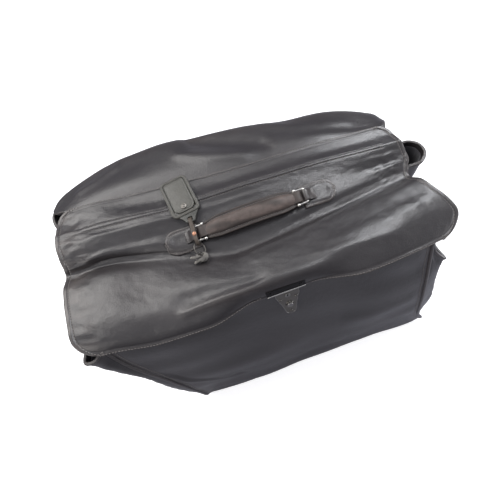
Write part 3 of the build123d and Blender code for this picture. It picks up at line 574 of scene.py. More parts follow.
# Lines across the flap, rear to front: y at each station, z at each station, then the line's two ends in x.
FLAP_LINES = [
    ([85, 84, 81, 77, 72, 67, 64, 61, 60],
     [329, 328, 322, 319, 318, 318, 317, 313.5, 308], -236, 199),
    ([66, 65, 62, 58, 54, 50, 47, 45, 43],
     [330, 329, 323, 318.5, 317.5, 317.5, 316.5, 313, 307], -242, 203),
    ([46, 45, 42, 39, 37, 34, 31, 28, 26],
     [335, 333, 327, 323, 322, 322, 321, 317, 310], -243, 205),
    ([28, 27, 26, 25, 24, 22, 20, 17, 15],
     [336, 334, 327, 321.5, 319, 318.5, 317.5, 313, 305], -243, 206),
    ([12, 12, 11, 10, 9, 9, 8, 6, 4],
     [331, 328, 320, 316.4, 316, 316, 315.5, 309, 301], -242, 206),
    ([2, 1, -5, -14, -21, -21, -18, -12, -4],
     [326, 322, 314.5, 311.4, 310.2, 310.2, 309.6, 304, 297], -241, 201),
    ([-5, -4, -12, -27, -40, -37, -32, -25, -16],
     [320, 315, 309.5, 306.6, 304.5, 304.7, 303.4, 300, 296], -243, 197),
    ([-22, -20, -28, -41, -53, -52, -44, -38, -32],
     [328, 323, 315, 311.5, 310.5, 310.5, 309, 308, 308], -243, 202),
    ([-43, -43, -50, -58, -68, -68, -60, -56, -54],
     [332, 328, 320, 317, 315.5, 315.5, 314, 313, 312], -242, 208),
    ([-68, -69, -73, -78, -84, -84, -77, -73, -70],
     [334, 331, 324, 321.5, 320.5, 320, 318, 316, 311.5], -240, 214),
    ([-87, -90, -92, -96, -97, -98, -92, -88, -84],
     [333, 330, 325, 322.5, 321, 320.6, 318, 314, 308.5], -239, 218),
    ([-101, -104, -109, -111, -105, -106, -108, -103, -97],
     [330, 327, 318.5, 315, 309.5, 310, 311, 307, 302], -238, 219),
    ([-111, -113, -119, -120, -107.4, -108, -120, -116, -108],
     [325, 319, 309, 305.5, 301.2, 301.5, 303, 301, 296], -237, 217),
]
FLAP_KNOTS = [0, 19, 38, 56, 73, 97, 114, 132, 150, 169, 184, 198, 208]
FLAP_DEPTH = FLAP_KNOTS[-1]
DOUBLE_SEAM = FLAP_KNOTS[2]
CREST = FLAP_KNOTS[10]
SPLIT = FLAP_KNOTS[4]
REAR_CORNER, FRONT_CORNER = 13.0, 26.0


def corner_cut(s):
    """How far the rounded corners pull the flap's ends in."""
    cut = 0.0
    for edge, radius in ((s, REAR_CORNER), (FLAP_DEPTH - s, FRONT_CORNER)):
        if edge < radius:
            cut = radius - math.sqrt(max(radius ** 2 - (radius - edge) ** 2, 0))
    return cut


def flap_rows():
    rear = [REAR_CORNER * (1 - math.cos(a)) for a in np.linspace(0, 1.5, 11)]
    front = [FRONT_CORNER * (1 - math.cos(a)) for a in np.linspace(0, 1.5, 17)]
    marks = (DOUBLE_SEAM - 3.6, DOUBLE_SEAM + 3.6, SPLIT)
    return spaced(FLAP_DEPTH, 2.3, rear, front, marks)


def flap_shape(rows, shares):
    """The flap's outer face without its creases."""
    ends = spline(FLAP_KNOTS, [line[2:] for line in FLAP_LINES], rows)
    heights = np.array([line[:2] for line in FLAP_LINES], float)
    grid = np.empty((len(rows), len(shares), 3))
    for i, s in enumerate(rows):
        low, high = ends[i, 0] + corner_cut(s), ends[i, 1] - corner_cut(s)
        x = low + (high - low) * shares
        lines = spline(STATIONS, heights.transpose(2, 0, 1), x, gentle=True)
        grid[i, :, 0] = x
        grid[i, :, 1:] = spline(FLAP_KNOTS, lines.transpose(1, 0, 2), [s])[0]
    return grid


def near_edge(grid):
    """Distance of every point to the border of the grid."""
    loop = outer_loop(*grid.shape[:2])
    border = resample(grid[loop[:, 0], loop[:, 1]], 1.5, closed=True)
    flat = grid.reshape(-1, 3)
    nearest = np.full(len(flat), 1e9)
    for part in np.array_split(border, 24):
        gap = np.linalg.norm(flat[:, None, :] - part[None], axis=2).min(axis=1)
        nearest = np.minimum(nearest, gap)
    return nearest.reshape(grid.shape[:2])


def fold(x, s, line, width, height):
    """A soft ridge along a line of (x, s) points; a negative height makes a furrow."""
    points = np.array(line, float)
    at = spline(points[:, 0], points[:, 1], x.ravel(), gentle=True).reshape(x.shape)
    middle, half = points[[0, -1], 0].mean(), np.ptp(points[:, 0]) / 2
    fade = np.clip((1 - np.abs(x - middle) / half) * 3, 0, 1)
    return height * bump(s, at, width) * fade * fade * (3 - 2 * fade)


def flap_relief(grid, rows, edge):
    """Creases, stitched grooves and turned border, as height above the smooth face."""
    x = grid[..., 0]
    s = np.broadcast_to(np.asarray(rows)[:, None], x.shape)
    field = np.stack([x, s, np.zeros_like(x)], axis=-1)
    high = np.zeros_like(x)
    hardware = bump(x, -25, 130) * bump(s, 88, 34)
    high += 0.6 * ripples(field, (90, 46, 1), 3) * (1 - hardware)
    left = np.clip((-196 - x) / 40, 0, 1)
    high += left * 0.40 * ripples(field, (30, 12, 1), 5)
    high += left * bump(s, 118, 22) * 0.45 * ripples(field, (18, 8, 1), 9)
    right = np.clip((x - 128) / 60, 0, 1) * bump(s, 84, 28)
    high += right * (0.9 * ripples(field, (52, 17, 1), 11) + 0.3 * ripples(field, (16, 10, 1), 12))
    sheen = bump(x, 168, 50) * bump(s, 170, 26)
    high += sheen * 0.30 * ripples(field, (22, 40, 1), 13)
    high += 0.07 * ripples(field, (15, 13, 1), 17)
    high += fold(x, s, [(-225, 104), (-170, 99), (-120, 104), (-60, 112)], 5.0, -2.2)
    high += fold(x, s, [(-228, 92), (-185, 82), (-130, 84), (-104, 90)], 7.0, 2.4)
    high += fold(x, s, [(-232, 52), (-150, 54), (-60, 57), (40, 58)], 4.0, 1.3)
    high += fold(x, s, [(-130, CREST + 5), (-70, CREST + 1), (-20, CREST + 2)], 3.4, 2.6)
    high += fold(x, s, [(-130, CREST - 8), (-70, CREST - 10), (-10, CREST - 9)], 6.0, -1.6)
    high += fold(x, s, [(30, CREST - 18), (80, CREST - 6), (150, CREST + 3)], 5.0, 1.2)
    high += fold(x, s, [(-40, 128), (60, 122), (130, 116), (190, 112)], 5.0, 1.6)
    high += fold(x, s, [(20, 108), (110, 101), (190, 98)], 4.0, -1.4)
    flat = np.clip((edge - 2) / 16, 0.25, 1)
    lock = bump(x, 0, 44) * np.clip((s - 176) / 14, 0, 1)
    high *= flat * (1 - np.clip(lock * 1.3, 0, 1))
    for offset in (-3.6, 3.6):
        ends = np.clip((x + 214) / 6, 0, 1) * np.clip((184 - x) / 6, 0, 1)
        high -= 0.9 * bump(s, DOUBLE_SEAM + offset, 0.85) * ends
    high += 0.8 * bump(s, DOUBLE_SEAM, 2.6)
    high += 0.45 / (1 + np.exp((edge - 3.2) * 4)) - 0.6 * bump(edge, 3.9, 0.8)
    return high


def flap_wear_and_highlight(grid, rows, edge):
    x = grid[..., 0]
    s = np.broadcast_to(np.asarray(rows)[:, None], x.shape)
    field = np.stack([x, s, np.zeros_like(x)], axis=-1)
    rub_and_highlight = 0.40 * np.exp(-edge / 1.8)
    rub_and_highlight += 0.55 * np.clip((-205 - x) / 30, 0, 1) * np.clip(0.5 + 0.5 * ripples(field, (30, 10, 1), 21), 0, 1)
    # Lighter band along the crest left of the lock: partly rubbing, partly a painted highlight.
    rub_and_highlight += 0.35 * bump(s, CREST + 2, 5) * bump(x, -60, 60)
    # Faint lighter patch on the left of the front bulge.
    rub_and_highlight += 0.15 * bump(s, 150, 30) * bump(x, -170, 70)
    return np.clip(rub_and_highlight, 0, 1)


flap_s = flap_rows()
side_steps = [0, 0.5, 1.0, 1.6, 2.3, 3.0, 3.6, 4.2, 4.8, 5.5, 6.5, 8, 10, 12.5]
flap_t = spaced(452, 2.6, side_steps, side_steps) / 452
flap_smooth = flap_shape(flap_s, flap_t)
flap_edge = near_edge(flap_smooth)
flap_grid = flap_smooth + normals_of(flap_smooth) * flap_relief(flap_smooth, flap_s, flap_edge)[..., None]
flap_normal = normals_of(flap_grid)
flap_wear_and_highlight_values = flap_wear_and_highlight(flap_grid, flap_s, flap_edge)
cut = int(np.argmin(np.abs(flap_s - SPLIT)))

flap_back = shell("flap_cover_rear", flap_grid[:cut + 1], LEATHER, [BLACK, UNDER], flat_sides=("bottom",),
                  wear_and_highlight=flap_wear_and_highlight_values[:cut + 1], normals=flap_normal[:cut + 1])
flap_fore = shell("flap_cover_front", flap_grid[cut:], LEATHER, [BLACK, UNDER], flat_sides=("top",),
                  wear_and_highlight=flap_wear_and_highlight_values[cut:], normals=flap_normal[cut:])
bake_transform(flap_back)
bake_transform(flap_fore)
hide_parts("flap_rear")
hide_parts("flap_top", "flap_front")


class Drape:
    """Finds height and normal of a grid under any (x, y)."""

    def __init__(self, grid, normal):
        from mathutils.kdtree import KDTree
        self.points = grid.reshape(-1, 3)
        self.normals = normal.reshape(-1, 3)
        self.tree = KDTree(len(self.points))
        for k, p in enumerate(self.points):
            self.tree.insert((p[0], p[1], 0), k)
        self.tree.balance()

    def on(self, xy, lift):
        """Points over xy, lifted square to the surface, and the normals there."""
        found, ways = [], []
        for x, y in xy:
            near = [k for _, k, _ in self.tree.find_n((x, y, 0), 4)]
            p, n = self.points[near], self.normals[near]
            z = p[:, 2] - (n[:, 0] * (x - p[:, 0]) + n[:, 1] * (y - p[:, 1])) / n[:, 2]
            weight = 1 / (np.hypot(p[:, 0] - x, p[:, 1] - y) + 0.05)
            way = unit((n * weight[:, None]).sum(axis=0))
            found.append(np.array([x, y, (z * weight).sum() / weight.sum()]) + way * lift)
            ways.append(way)
        return np.array(found), np.array(ways)


drape = Drape(flap_grid, flap_normal)


def border_line(grid, normal, depth, sides):
    """Line at a depth from the border of a grid, along the wanted sides."""
    rows, cols = grid.shape[:2]
    loop = outer_loop(rows, cols)
    out = outward(grid, normal, loop, ())
    keep = np.zeros(len(loop), bool)
    if "top" in sides:
        keep |= loop[:, 0] == 0
    if "right" in sides:
        keep |= loop[:, 1] == cols - 1
    if "bottom" in sides:
        keep |= loop[:, 0] == rows - 1
    if "left" in sides:
        keep |= loop[:, 1] == 0
    start = int(np.argmax(~keep))
    order = [k % len(loop) for k in range(start, start + len(loop)) if keep[k % len(loop)]]
    picked = loop[order]
    return grid[picked[:, 0], picked[:, 1]] - out[order] * depth


def seam_on_flap(line):
    """Points of a line laid just above the flap, and the way up at each."""
    return drape.on(line[:, :2], 0.05)


rear_line = border_line(flap_grid[:cut + 1], flap_normal[:cut + 1], 4.6, ("left", "top", "right"))
front_line = border_line(flap_grid[cut:], flap_normal[cut:], 4.6, ("left", "bottom", "right"))
lines = [seam_on_flap(resample(rear_line, 1.7))]
for offset in (-3.6, 3.6):
    row = int(np.argmin(np.abs(flap_s - DOUBLE_SEAM - offset)))
    keep = (flap_grid[row, :, 0] > -212) & (flap_grid[row, :, 0] < 180)
    lines.append((flap_grid[row, keep] + flap_normal[row, keep] * 0.05, flap_normal[row, keep]))
sewn = stitches("flap_stitches_rear", lines, THREAD)
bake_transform(sewn)
path = resample(front_line, 1.7)
spots, ways = seam_on_flap(path)
free = (np.abs(spots[:, 0]) > 30) | (spots[:, 1] > -90)
groups = np.split(np.arange(len(path)), np.where(np.diff(free.astype(int)) != 0)[0] + 1)
lines = [(spots[g], ways[g]) for g in groups if free[g[0]] and len(g) > 4]
sewn = stitches("flap_stitches_front", lines, THREAD)
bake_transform(sewn)


# ---------------------------------------------------------------- body panels
def sheet(lines, knots, rows, shares):
    """Grid through lines written top to bottom."""
    drawn = np.array([along_x(points, shares) for points in lines])
    return spline(knots, drawn, rows)


FRONT = [
    [(-222, -99.5, 302), (-150, -99.8, 303), (-40, -99.9, 304.5), (40, -99.9, 304.5), (120, -99.8, 304),
     (186, -99, 302)],
    [(-212, -115, 258), (-140, -114.5, 260), (-40, -112.6, 260), (40, -112.6, 260), (120, -114, 260),
     (187, -112, 260)],
    [(-197, -128, 213), (-120, -129, 215), (-40, -125.6, 215), (40, -125.6, 215), (120, -128, 215),
     (188, -126, 215)],
    [(-181, -142, 148), (-100, -146, 150), (0, -144.5, 150), (100, -146, 150), (191, -142, 150)],
    [(-177, -147, 75), (-80, -149, 75), (0, -148, 75), (110, -149, 75), (204, -147, 75)],
    [(-177, -145, 14), (0, -146, 14), (226, -145, 14)],
    [(-176, -140.5, 0.8), (0, -141, 0.5), (226, -140.5, 0.8)],
]
FRONT_KNOTS = [0, 46, 93, 160, 236, 297, 312]
BACK = [
    [(-224, 52, 318), (-150, 50, 315), (-95, 47, 313.8), (30, 46, 313), (150, 42, 308), (200, 38, 303)],
    [(-228, 80, 324.5), (-200, 81, 323), (-150, 79, 317.6), (-95, 75, 314.6), (-35, 70, 313.8),
     (30, 66, 313.6), (95, 63, 312.6), (155, 60, 309), (201, 58, 304)],
    [(-248, 94, 322), (-232, 112, 320), (-200, 124, 318), (-150, 130, 316), (-95, 126, 315),
     (-35, 119, 313.5), (30, 110, 312), (95, 99, 310), (155, 91, 305), (209, 76, 298)],
    [(-253, 104, 314), (-247, 119, 312), (-230, 136, 309), (-206, 150, 307), (-180, 161, 305),
     (-150, 166, 304), (-107, 166, 302), (-33, 160, 300), (25, 150, 299), (93, 131, 298), (159, 121, 293),
     (208, 104, 286), (219, 87, 281)],
    [(-236, 112, 238), (-196, 144, 240), (-150, 158, 240), (-100, 163, 240), (-30, 160, 240),
     (40, 154, 240), (110, 146, 240), (170, 140, 238), (212, 112, 236)],
    [(-212, 132, 160), (-180, 148, 160), (-100, 158, 160), (0, 156, 160), (100, 152, 160),
     (180, 146, 160), (212, 128, 160)],
    [(-196, 138, 80), (-150, 150, 80), (0, 152, 80), (150, 150, 80), (210, 136, 80)],
    [(-186, 138, 14), (-150, 144, 14), (0, 145.5, 14), (150, 145, 14), (216, 138, 14)],
    [(-184, 134, 0.8), (0, 140.5, 0.5), (214, 134, 0.8)],
]
BACK_KNOTS = [0, 24, 66, 100, 160, 240, 320, 386, 400]
RIM = BACK_KNOTS[3]

GUSSET_SHARES = [0, 0.28, 0.55, 0.8, 1]       # from the top down
RIGHT_GUSSET = [
    [(193, -112, 262), (208, -119, 244), (204, -106, 248), (190, -66, 276), (186, -22, 287),
     (204, -1, 290), (224, 0, 292), (235, 10, 293), (235, 24, 294), (224, 35, 294), (205, 39, 291),
     (209, 66, 285)],
    [(197, -126, 210), (208, -122, 206), (206, -102, 208), (193, -62, 212), (192, -28, 215),
     (202, -4, 215), (216, 2, 215), (225, 12, 215), (223, 26, 215), (213, 39, 215), (203, 47, 215),
     (210, 76, 215)],
    [(207, -138, 134), (221, -131, 134), (216, -110, 134), (203, -72, 134), (203, -34, 134),
     (208, -8, 134), (217, 2, 134), (222, 14, 134), (220, 28, 134), (213, 44, 134), (207, 58, 134),
     (211, 94, 134)],
    [(220, -139, 60), (231, -130, 60), (222, -104, 60), (211, -68, 60), (211, -34, 60), (214, -8, 60),
     (220, 2, 60), (224, 16, 60), (222, 32, 60), (215, 48, 60), (212, 70, 60), (212, 104, 60)],
    [(225, -132, 0.6), (224, -114, 0.6), (221, -90, 0.6), (219, -62, 0.6), (218, -34, 0.6),
     (217, -6, 0.6), (217, 12, 0.6), (216, 28, 0.6), (216, 45, 0.6), (215, 64, 0.6), (215, 85, 0.6),
     (214, 110, 0.6)],
]
LEFT_GUSSET = [
    [(-232, -108, 299), (-243, -107, 299), (-238, -86, 300), (-212, -34, 301), (-210, 12, 303),
     (-232, 52, 307), (-253, 80, 313), (-256, 94, 315)],
    [(-208, -129, 216), (-219, -121, 216), (-222, -96, 216), (-208, -34, 216), (-211, 18, 216),
     (-228, 58, 216), (-240, 88, 216), (-238, 104, 216)],
    [(-188, -143, 135), (-200, -137, 135), (-210, -110, 135), (-208, -36, 135), (-211, 18, 135),
     (-220, 68, 135), (-222, 104, 135), (-213, 126, 135)],
    [(-182, -145, 60), (-189, -139, 60), (-197, -110, 60), (-198, -38, 60), (-200, 20, 60),
     (-204, 66, 60), (-203, 104, 60), (-197, 128, 60)],
    [(-178, -134, 0.6), (-180, -118, 0.6), (-183, -94, 0.6), (-185, -35, 0.6), (-186, 20, 0.6),
     (-186, 65, 0.6), (-186, 104, 0.6), (-185, 126, 0.6)],
]

panel_t = spaced(420, 3.2, (0, 1, 2.2, 3.6, 5.2, 7), (0, 1, 2.2, 3.6, 5.2, 7)) / 420
front_rows = spaced(FRONT_KNOTS[-1], 3.4, (0, 0.8, 1.8, 3, 4.5, 6.5), (0, 1, 2.2, 4, 6))
back_rows = spaced(BACK_KNOTS[-1], 3.4, (0, 1.5, 4), (0, 1, 2.2, 4, 6))


def creased(grid, amount, flip=False):
    """The grid with its relief added along its normals."""
    return grid + normals_of(grid, flip) * amount[..., None]


front_grid = sheet(FRONT, FRONT_KNOTS, front_rows, panel_t)
x, z = front_grid[..., 0], front_grid[..., 2]
field = np.stack([x, z, np.zeros_like(x)], axis=-1)
relief = 1.3 * ripples(field, (150, 70, 1), 31) * (1 - bump(x, 0, 55) * bump(z, 285, 60))
relief += fold(x, z, [(-215, 262), (-185, 196), (-150, 150), (-100, 120)], 9.0, 3.6)
relief += fold(x, z, [(-205, 240), (-165, 172), (-120, 132), (-80, 112)], 6.0, -2.2)
relief += fold(x, z, [(60, 180), (130, 168), (188, 172)], 16.0, 2.0)
relief += fold(x, z, [(-150, 62), (-20, 52), (150, 66)], 16.0, 1.6)
relief *= np.clip(np.minimum(front_rows, FRONT_KNOTS[-1] - front_rows)[:, None] / 14, 0, 1)
relief *= np.clip(np.minimum(panel_t, 1 - panel_t)[None] * 420 / 16, 0.1, 1)
front_grid = creased(front_grid, relief)
front_worn = 0.5 * bump(z, 4, 12) + 0.25 * np.exp(-np.minimum(panel_t, 1 - panel_t)[None] * 420 / 6)
front_panel = shell("front_panel_leather", front_grid, LEATHER, BLACK, wear_and_highlight=np.clip(front_worn, 0, 1))

back_grid = sheet(BACK, BACK_KNOTS, back_rows, panel_t)
x, z = back_grid[..., 0], back_grid[..., 2]
s = np.broadcast_to(back_rows[:, None], x.shape)
field = np.stack([x, s, np.zeros_like(x)], axis=-1)
relief = 1.8 * ripples(field, (160, 80, 1), 41)
relief += fold(x, s, [(-70, 96), (0, 70), (60, 50)], 15.0, -5.5)
relief += fold(x, s, [(-90, 74), (-20, 48), (30, 36)], 9.0, 2.4)
relief += fold(x, s, [(40, 96), (110, 72), (180, 64)], 12.0, 2.2)
relief += fold(x, s, [(-226, 60), (-190, 70), (-150, 84)], 9.0, 2.0)
relief *= np.clip((s - 20) / 26, 0, 1) * np.clip((BACK_KNOTS[-1] - s) / 14, 0, 1)
relief *= np.clip(np.minimum(panel_t, 1 - panel_t)[None] * 420 / 16, 0.1, 1)
back_grid = creased(back_grid, relief, flip=True)
back_worn = 0.3 * bump(s, RIM, 14) + 0.5 * bump(z, 4, 12) * (s > RIM)
back_panel = shell("back_panel_leather", back_grid, LEATHER, BLACK, flip=True, wear_and_highlight=np.clip(back_worn, 0, 1))


def down_edge(column, shares):
    """Panel end at shares of its height, from the top down."""
    height = column[0, 2] + (column[-1, 2] - column[0, 2]) * shares
    order = np.argsort(column[:, 2])
    return np.stack([np.interp(height, column[order, 2], column[order, k]) for k in range(3)], axis=1)


def gusset(name, levels, end, flip, replaced):
    """Side wall between the ends of the two panels, with its bellows folds."""
    shares = np.linspace(0, 1, 84)
    front_end = down_edge(front_grid[:, end], shares)
    first = int(np.argmin(np.abs(back_rows - RIM)))
    back_end = down_edge(back_grid[first:, end], shares)
    between = spline(GUSSET_SHARES, np.array(levels, float), shares)
    across = np.linspace(0, 1, 150)
    grid = np.array([along_path(np.r_[[a], row, [b]], across)
                     for a, row, b in zip(front_end, between, back_end)])
    depth = np.broadcast_to(shares[:, None] * 300, grid.shape[:2])
    field = np.stack([grid[..., 1], depth, np.zeros_like(depth)], axis=-1)
    relief = 0.9 * ripples(field, (70, 80, 1), 51 + end) + 0.25 * ripples(field, (26, 22, 1), 61 + end)
    relief *= (np.clip(np.minimum(across, 1 - across)[None] * 12, 0, 1)
               * np.clip((1 - shares[:, None]) * 8, 0, 1))
    grid = creased(grid, relief, flip)
    rub_and_highlight = 0.4 * np.exp(-depth / 4) + 0.08 * np.clip(ripples(field, (40, 40, 1), 71 + end), 0, 1)
    made = shell(name, grid, 2.6, BLACK, flip=flip, wear_and_highlight=np.clip(rub_and_highlight, 0, 1))
    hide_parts(replaced)
    return made, grid


gusset_right, right_grid = gusset("gusset_right_leather", RIGHT_GUSSET, -1, False, "gusset_right")
gusset_left, left_grid = gusset("gusset_left_leather", LEFT_GUSSET, 0, True, "gusset_left")

base_rows = np.linspace(0, 1, 60)
base_grid = np.array([front_grid[-1] * (1 - r) + back_grid[-1] * r for r in base_rows])
base_grid[..., 2] = 0.0 + 0.8 * np.clip(1 - np.minimum(base_rows, 1 - base_rows)[:, None] * 60, 0, 1)
base_grid[..., 1] = base_grid[..., 1] * 0.985
base_leather = shell("base_leather", base_grid, 3.0, BLACK, flip=False)
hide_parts("front_panel")
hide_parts("back_panel")
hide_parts("base_panel")
for piece in (front_panel, back_panel, gusset_right, gusset_left, base_leather):
    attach(piece, "bag")


# piping over the four corner seams, hems on the gusset tops, and the body's stitches
def corner_run(grid, column, first=0):
    return resample(grid[first:, column], 3.0)


first_back = int(np.argmin(np.abs(back_rows - RIM)))
runs = [("piping_front_left", corner_run(front_grid, 0), 2.3),
        ("piping_front_right", corner_run(front_grid, -1), 2.5),
        ("piping_back_left", corner_run(back_grid, 0, first_back), 2.2),
        ("piping_back_right", corner_run(back_grid, -1, first_back), 2.2)]
for name, run, radius in runs:
    ends = np.clip(np.minimum(np.arange(len(run)), len(run) - 1 - np.arange(len(run))) / 1.5 + 0.5, 0, 1)
    run[:, 2] = np.maximum(run[:, 2], radius + 0.1)
    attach(tube(name, run, radius, BLACK, sizes=ends), "bag")

hem = [("gusset_hem_right", right_grid[0]), ("gusset_hem_left", left_grid[0])]
for name, row in hem:
    line = resample(row, 2.4)
    line[:, 2] -= 1.2
    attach(tube(name, line, 1.8, BLACK), "bag")

lines = []
for grid, flip, column in ((front_grid, False, 0), (front_grid, False, -1), (back_grid, True, 0),
                           (back_grid, True, -1)):
    start = first_back if flip else 2
    away = grid[start:-4, 5 if column == 0 else -6]
    way = normals_of(grid, flip)[start:-4, 5 if column == 0 else -6]
    lines.append((away + way * 0.05, way))
rows_top = int(np.argmin(np.abs(front_rows - 4.5)))
lines.append((front_grid[rows_top, 4:-4] + normals_of(front_grid)[rows_top, 4:-4] * 0.05,
              normals_of(front_grid)[rows_top, 4:-4]))
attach(stitches("body_stitches", lines, THREAD), "bag")


# ---------------------------------------------------------------- inside of the bag
def inner(grid, flip, depth):
    return grid - normals_of(grid, flip) * depth


def rows_between(rows, low, high):
    return [k for k, r in enumerate(rows) if low <= r <= high]


linings = []
band_low = 24
keep = rows_between(front_rows, band_low - 2, FRONT_KNOTS[-2])
linings.append(shell("lining_front", inner(front_grid, False, LEATHER + 0.5)[keep], 0.8, CLOTH))
keep = rows_between(back_rows, BACK_KNOTS[1] + 2, BACK_KNOTS[-2])
linings.append(shell("lining_back", inner(back_grid, True, LEATHER + 0.5)[keep], 0.8, CLOTH, flip=True))
linings.append(shell("lining_right", inner(right_grid, False, 3.2)[2:-3], 0.8, CLOTH))
linings.append(shell("lining_left", inner(left_grid, True, 3.2)[2:-3], 0.8, CLOTH, flip=True))
floor_grid = base_grid[2:-2, 3:-3] * np.array([0.985, 0.97, 1.0])
floor_grid = floor_grid * np.array([1, 1, 0]) + np.array([0, 0, 7.6])
linings.append(shell("lining_floor", floor_grid, 0.8, CLOTH))
board = shell("base_board_core", floor_grid - np.array([0, 0, 1.0]), 2.4, BOARD)
stand_in(board, "bag", "stiff_board", "base_board")
lining = join("lining_fabric", linings)
stand_in(lining, "bag", "lining_cloth", "lining")

keep = rows_between(front_rows, 1.5, band_low)
inside = slice(8, len(panel_t) - 8)
front_band = shell("stiffener_front_leather", inner(front_grid, False, LEATHER + 0.4)[keep, inside], 3.0,
                   UNDER)
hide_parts("stiffener_front")
keep = rows_between(back_rows, 1.5, BACK_KNOTS[1])
rear_band = shell("stiffener_rear_leather", inner(back_grid, True, LEATHER + 0.4)[keep, inside], 3.0, UNDER,
                  flip=True)
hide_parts("stiffener_rear")
for band in (front_band, rear_band):
    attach(band, "bag")

keep = rows_between(back_rows, 170, 300)
third = slice(int(len(panel_t) * 0.28), int(len(panel_t) * 0.72))
pocket_grid = inner(back_grid, True, LEATHER + 3.0)[keep, third]
pocket = shell("inner_pocket_fabric", pocket_grid, 1.0, CLOTH, flip=True)
pocket_edge = tube("inner_pocket_binding", resample(pocket_grid[0], 4) - np.array([0, 0.6, 0]), 1.5, UNDER)
pocket = join("inner_pocket_fabric", [pocket, pocket_edge])
stand_in(pocket, "bag", "lining_cloth", "inner_pocket")


# ---------------------------------------------------------------- frames of the hardware
RIDGE = np.array([40.0, 322.0])
VALLEY = np.array([-48.0, 305.0])
slope = math.atan2(RIDGE[1] - VALLEY[1], RIDGE[0] - VALLEY[0])
HANDLE_X, HANDLE_Y = -8.5, -6.0


class Place:
    """Local frame: turns (a, b, height) in millimetres into frame coordinates."""

    def __init__(self, origin, across, up_slope):
        self.origin = np.array(origin, float)
        self.a = unit(np.array(across, float))
        self.n = unit(np.cross(self.a, np.array(up_slope, float)))
        self.b = np.cross(self.n, self.a)

    def __call__(self, points):
        p = np.atleast_2d(np.asarray(points, float))
        return self.origin + p[:, :1] * self.a + p[:, 1:2] * self.b + p[:, 2:3] * self.n

    def shifted(self, a, b, height=0.0, turn=0.0):
        """The same frame moved, and turned about its normal by degrees."""
        r = math.radians(turn)
        across = self.a * math.cos(r) + self.b * math.sin(r)
        return Place(self([(a, b, height)])[0], across, np.cross(self.n, across))


top = Place((HANDLE_X, HANDLE_Y, VALLEY[1] + (HANDLE_Y - VALLEY[0]) * math.tan(slope)), (1, 0, 0),
            (0, math.cos(slope), math.sin(slope)))
lean = math.radians(16)
lock = Place((0, -98.2 - 28 * math.sin(lean) - 1.8 * math.cos(lean),
              304 - 28 * math.cos(lean) + 1.8 * math.sin(lean)),
             (1, 0, 0), (0, math.sin(lean), math.cos(lean)))

HANDLE_HALF = 59.5
RING_REACH = 12.0
HANDLE_LIFT = 8.0         # how far the handle rises while its rings stand up
RING_HEIGHT = 6.5
HANDLE_RISE = 5.4
PIN = HANDLE_HALF + RING_REACH


# ---------------------------------------------------------------- chapes
def make_chape(end, name):
    """Round-ended patch sewn to the flap, and the roll that holds the ring."""
    length, half, start = 41.6, 14.0, PIN - 3.4
    round_end = [half * (1 - math.cos(a)) for a in np.linspace(0, 1.5, 12)]
    run = length - spaced(length, 2.2, round_end, (0, 0.6, 1.3, 2.2, 3.2))
    width = np.array([half if length - r > half
                      else math.sqrt(max(half ** 2 - (half - (length - r)) ** 2, 1.2))
                      for r in run])
    share = np.r_[-1, -0.93, -0.86, -0.8, np.linspace(-0.7, 0.7, 9), 0.8, 0.86, 0.93, 1]
    xy = [(HANDLE_X + end * (start + r), HANDLE_Y + w * k * 0.98) for r, w in zip(run, width) for k in share]
    points, ways = drape.on(xy, 2.7)
    grid = points.reshape(len(run), len(share), 3)
    way = ways.reshape(grid.shape)
    edge = near_edge(grid)
    grid = grid + way * (0.35 * bump(edge, 5.5, 2.5) - 0.35 * bump(edge, 2.7, 0.9))[..., None]
    flip = end < 0
    patch = shell(name + "_patch", grid, 2.5, BLACK, flip=not flip, wear_and_highlight=0.7 * np.exp(-edge / 2))
    loop = outer_loop(*grid.shape[:2])
    out = outward(grid, normals_of(grid, not flip), loop, ())
    line = resample(grid[loop[:, 0], loop[:, 1]] - out * 2.8, 1.2, closed=True)
    spots, spot_ways = drape.on(line[:, :2], 2.75)
    seam = stitches(name + "_stitches", [(np.r_[spots, spots[:1]], np.r_[spot_ways, spot_ways[:1]])],
                    THREAD, 3.0, 2.2,
                    0.34)
    roll = [(PIN + 12, 0, 3.4), (PIN + 7, 0, 5.2), (PIN + 3.4, 0, 8.0), (PIN + 0.6, 0, 9.1),
            (PIN - 1.9, 0, 8.3),
            (PIN - 2.7, 0, 6.4), (PIN - 1.9, 0, 4.5), (PIN + 0.4, 0, 3.6), (PIN + 4, 0, 3.5)]
    path = top(along_path([(end * a, b, c) for a, b, c in roll], np.linspace(0, 1, 34)))
    fold_over = sweep(name + "_roll", path, rounded(14.4, 1.5, 0.6, 4), top.b, BLACK)
    made = join(name + "_leather", [patch, seam, fold_over])
    stand_in(made, "flap_top", "black_leather", name)


make_chape(-1, "chape_left")
make_chape(1, "chape_right")


# ---------------------------------------------------------------- rings
def make_ring(end, name):
    """Rounded rectangle of nickel wire with a knuckle at each end of the handle's pin."""
    middle = top.shifted(end * (HANDLE_HALF + RING_REACH / 2), 0, RING_HEIGHT)
    outline = rounded(RING_REACH, 18.2, 2.5, 7)
    path = middle(np.c_[outline, np.zeros(len(outline))])
    wire = sweep(name + "_wire", path, circle(1.45, 14), top.n, NICKEL, closed=True)
    parts = [wire]
    for side in (-1, 1):
        knob = top.shifted(end * HANDLE_HALF, side * 9.4, RING_HEIGHT)
        ball = Place(knob.origin, knob.a, knob.n)
        profile = [(0.3, -2.3), (1.6, -1.9), (2.25, -0.9), (2.4, 0), (2.25, 0.9), (1.6, 1.9), (0.3, 2.3)]
        parts.append(lathe(name + "_knuckle", profile, ball, NICKEL, 20))
    made = join(name + "_nickel", parts)
    stand_in(made, name, "nickel", name)


make_ring(-1, "ring_left")
make_ring(1, "ring_right")


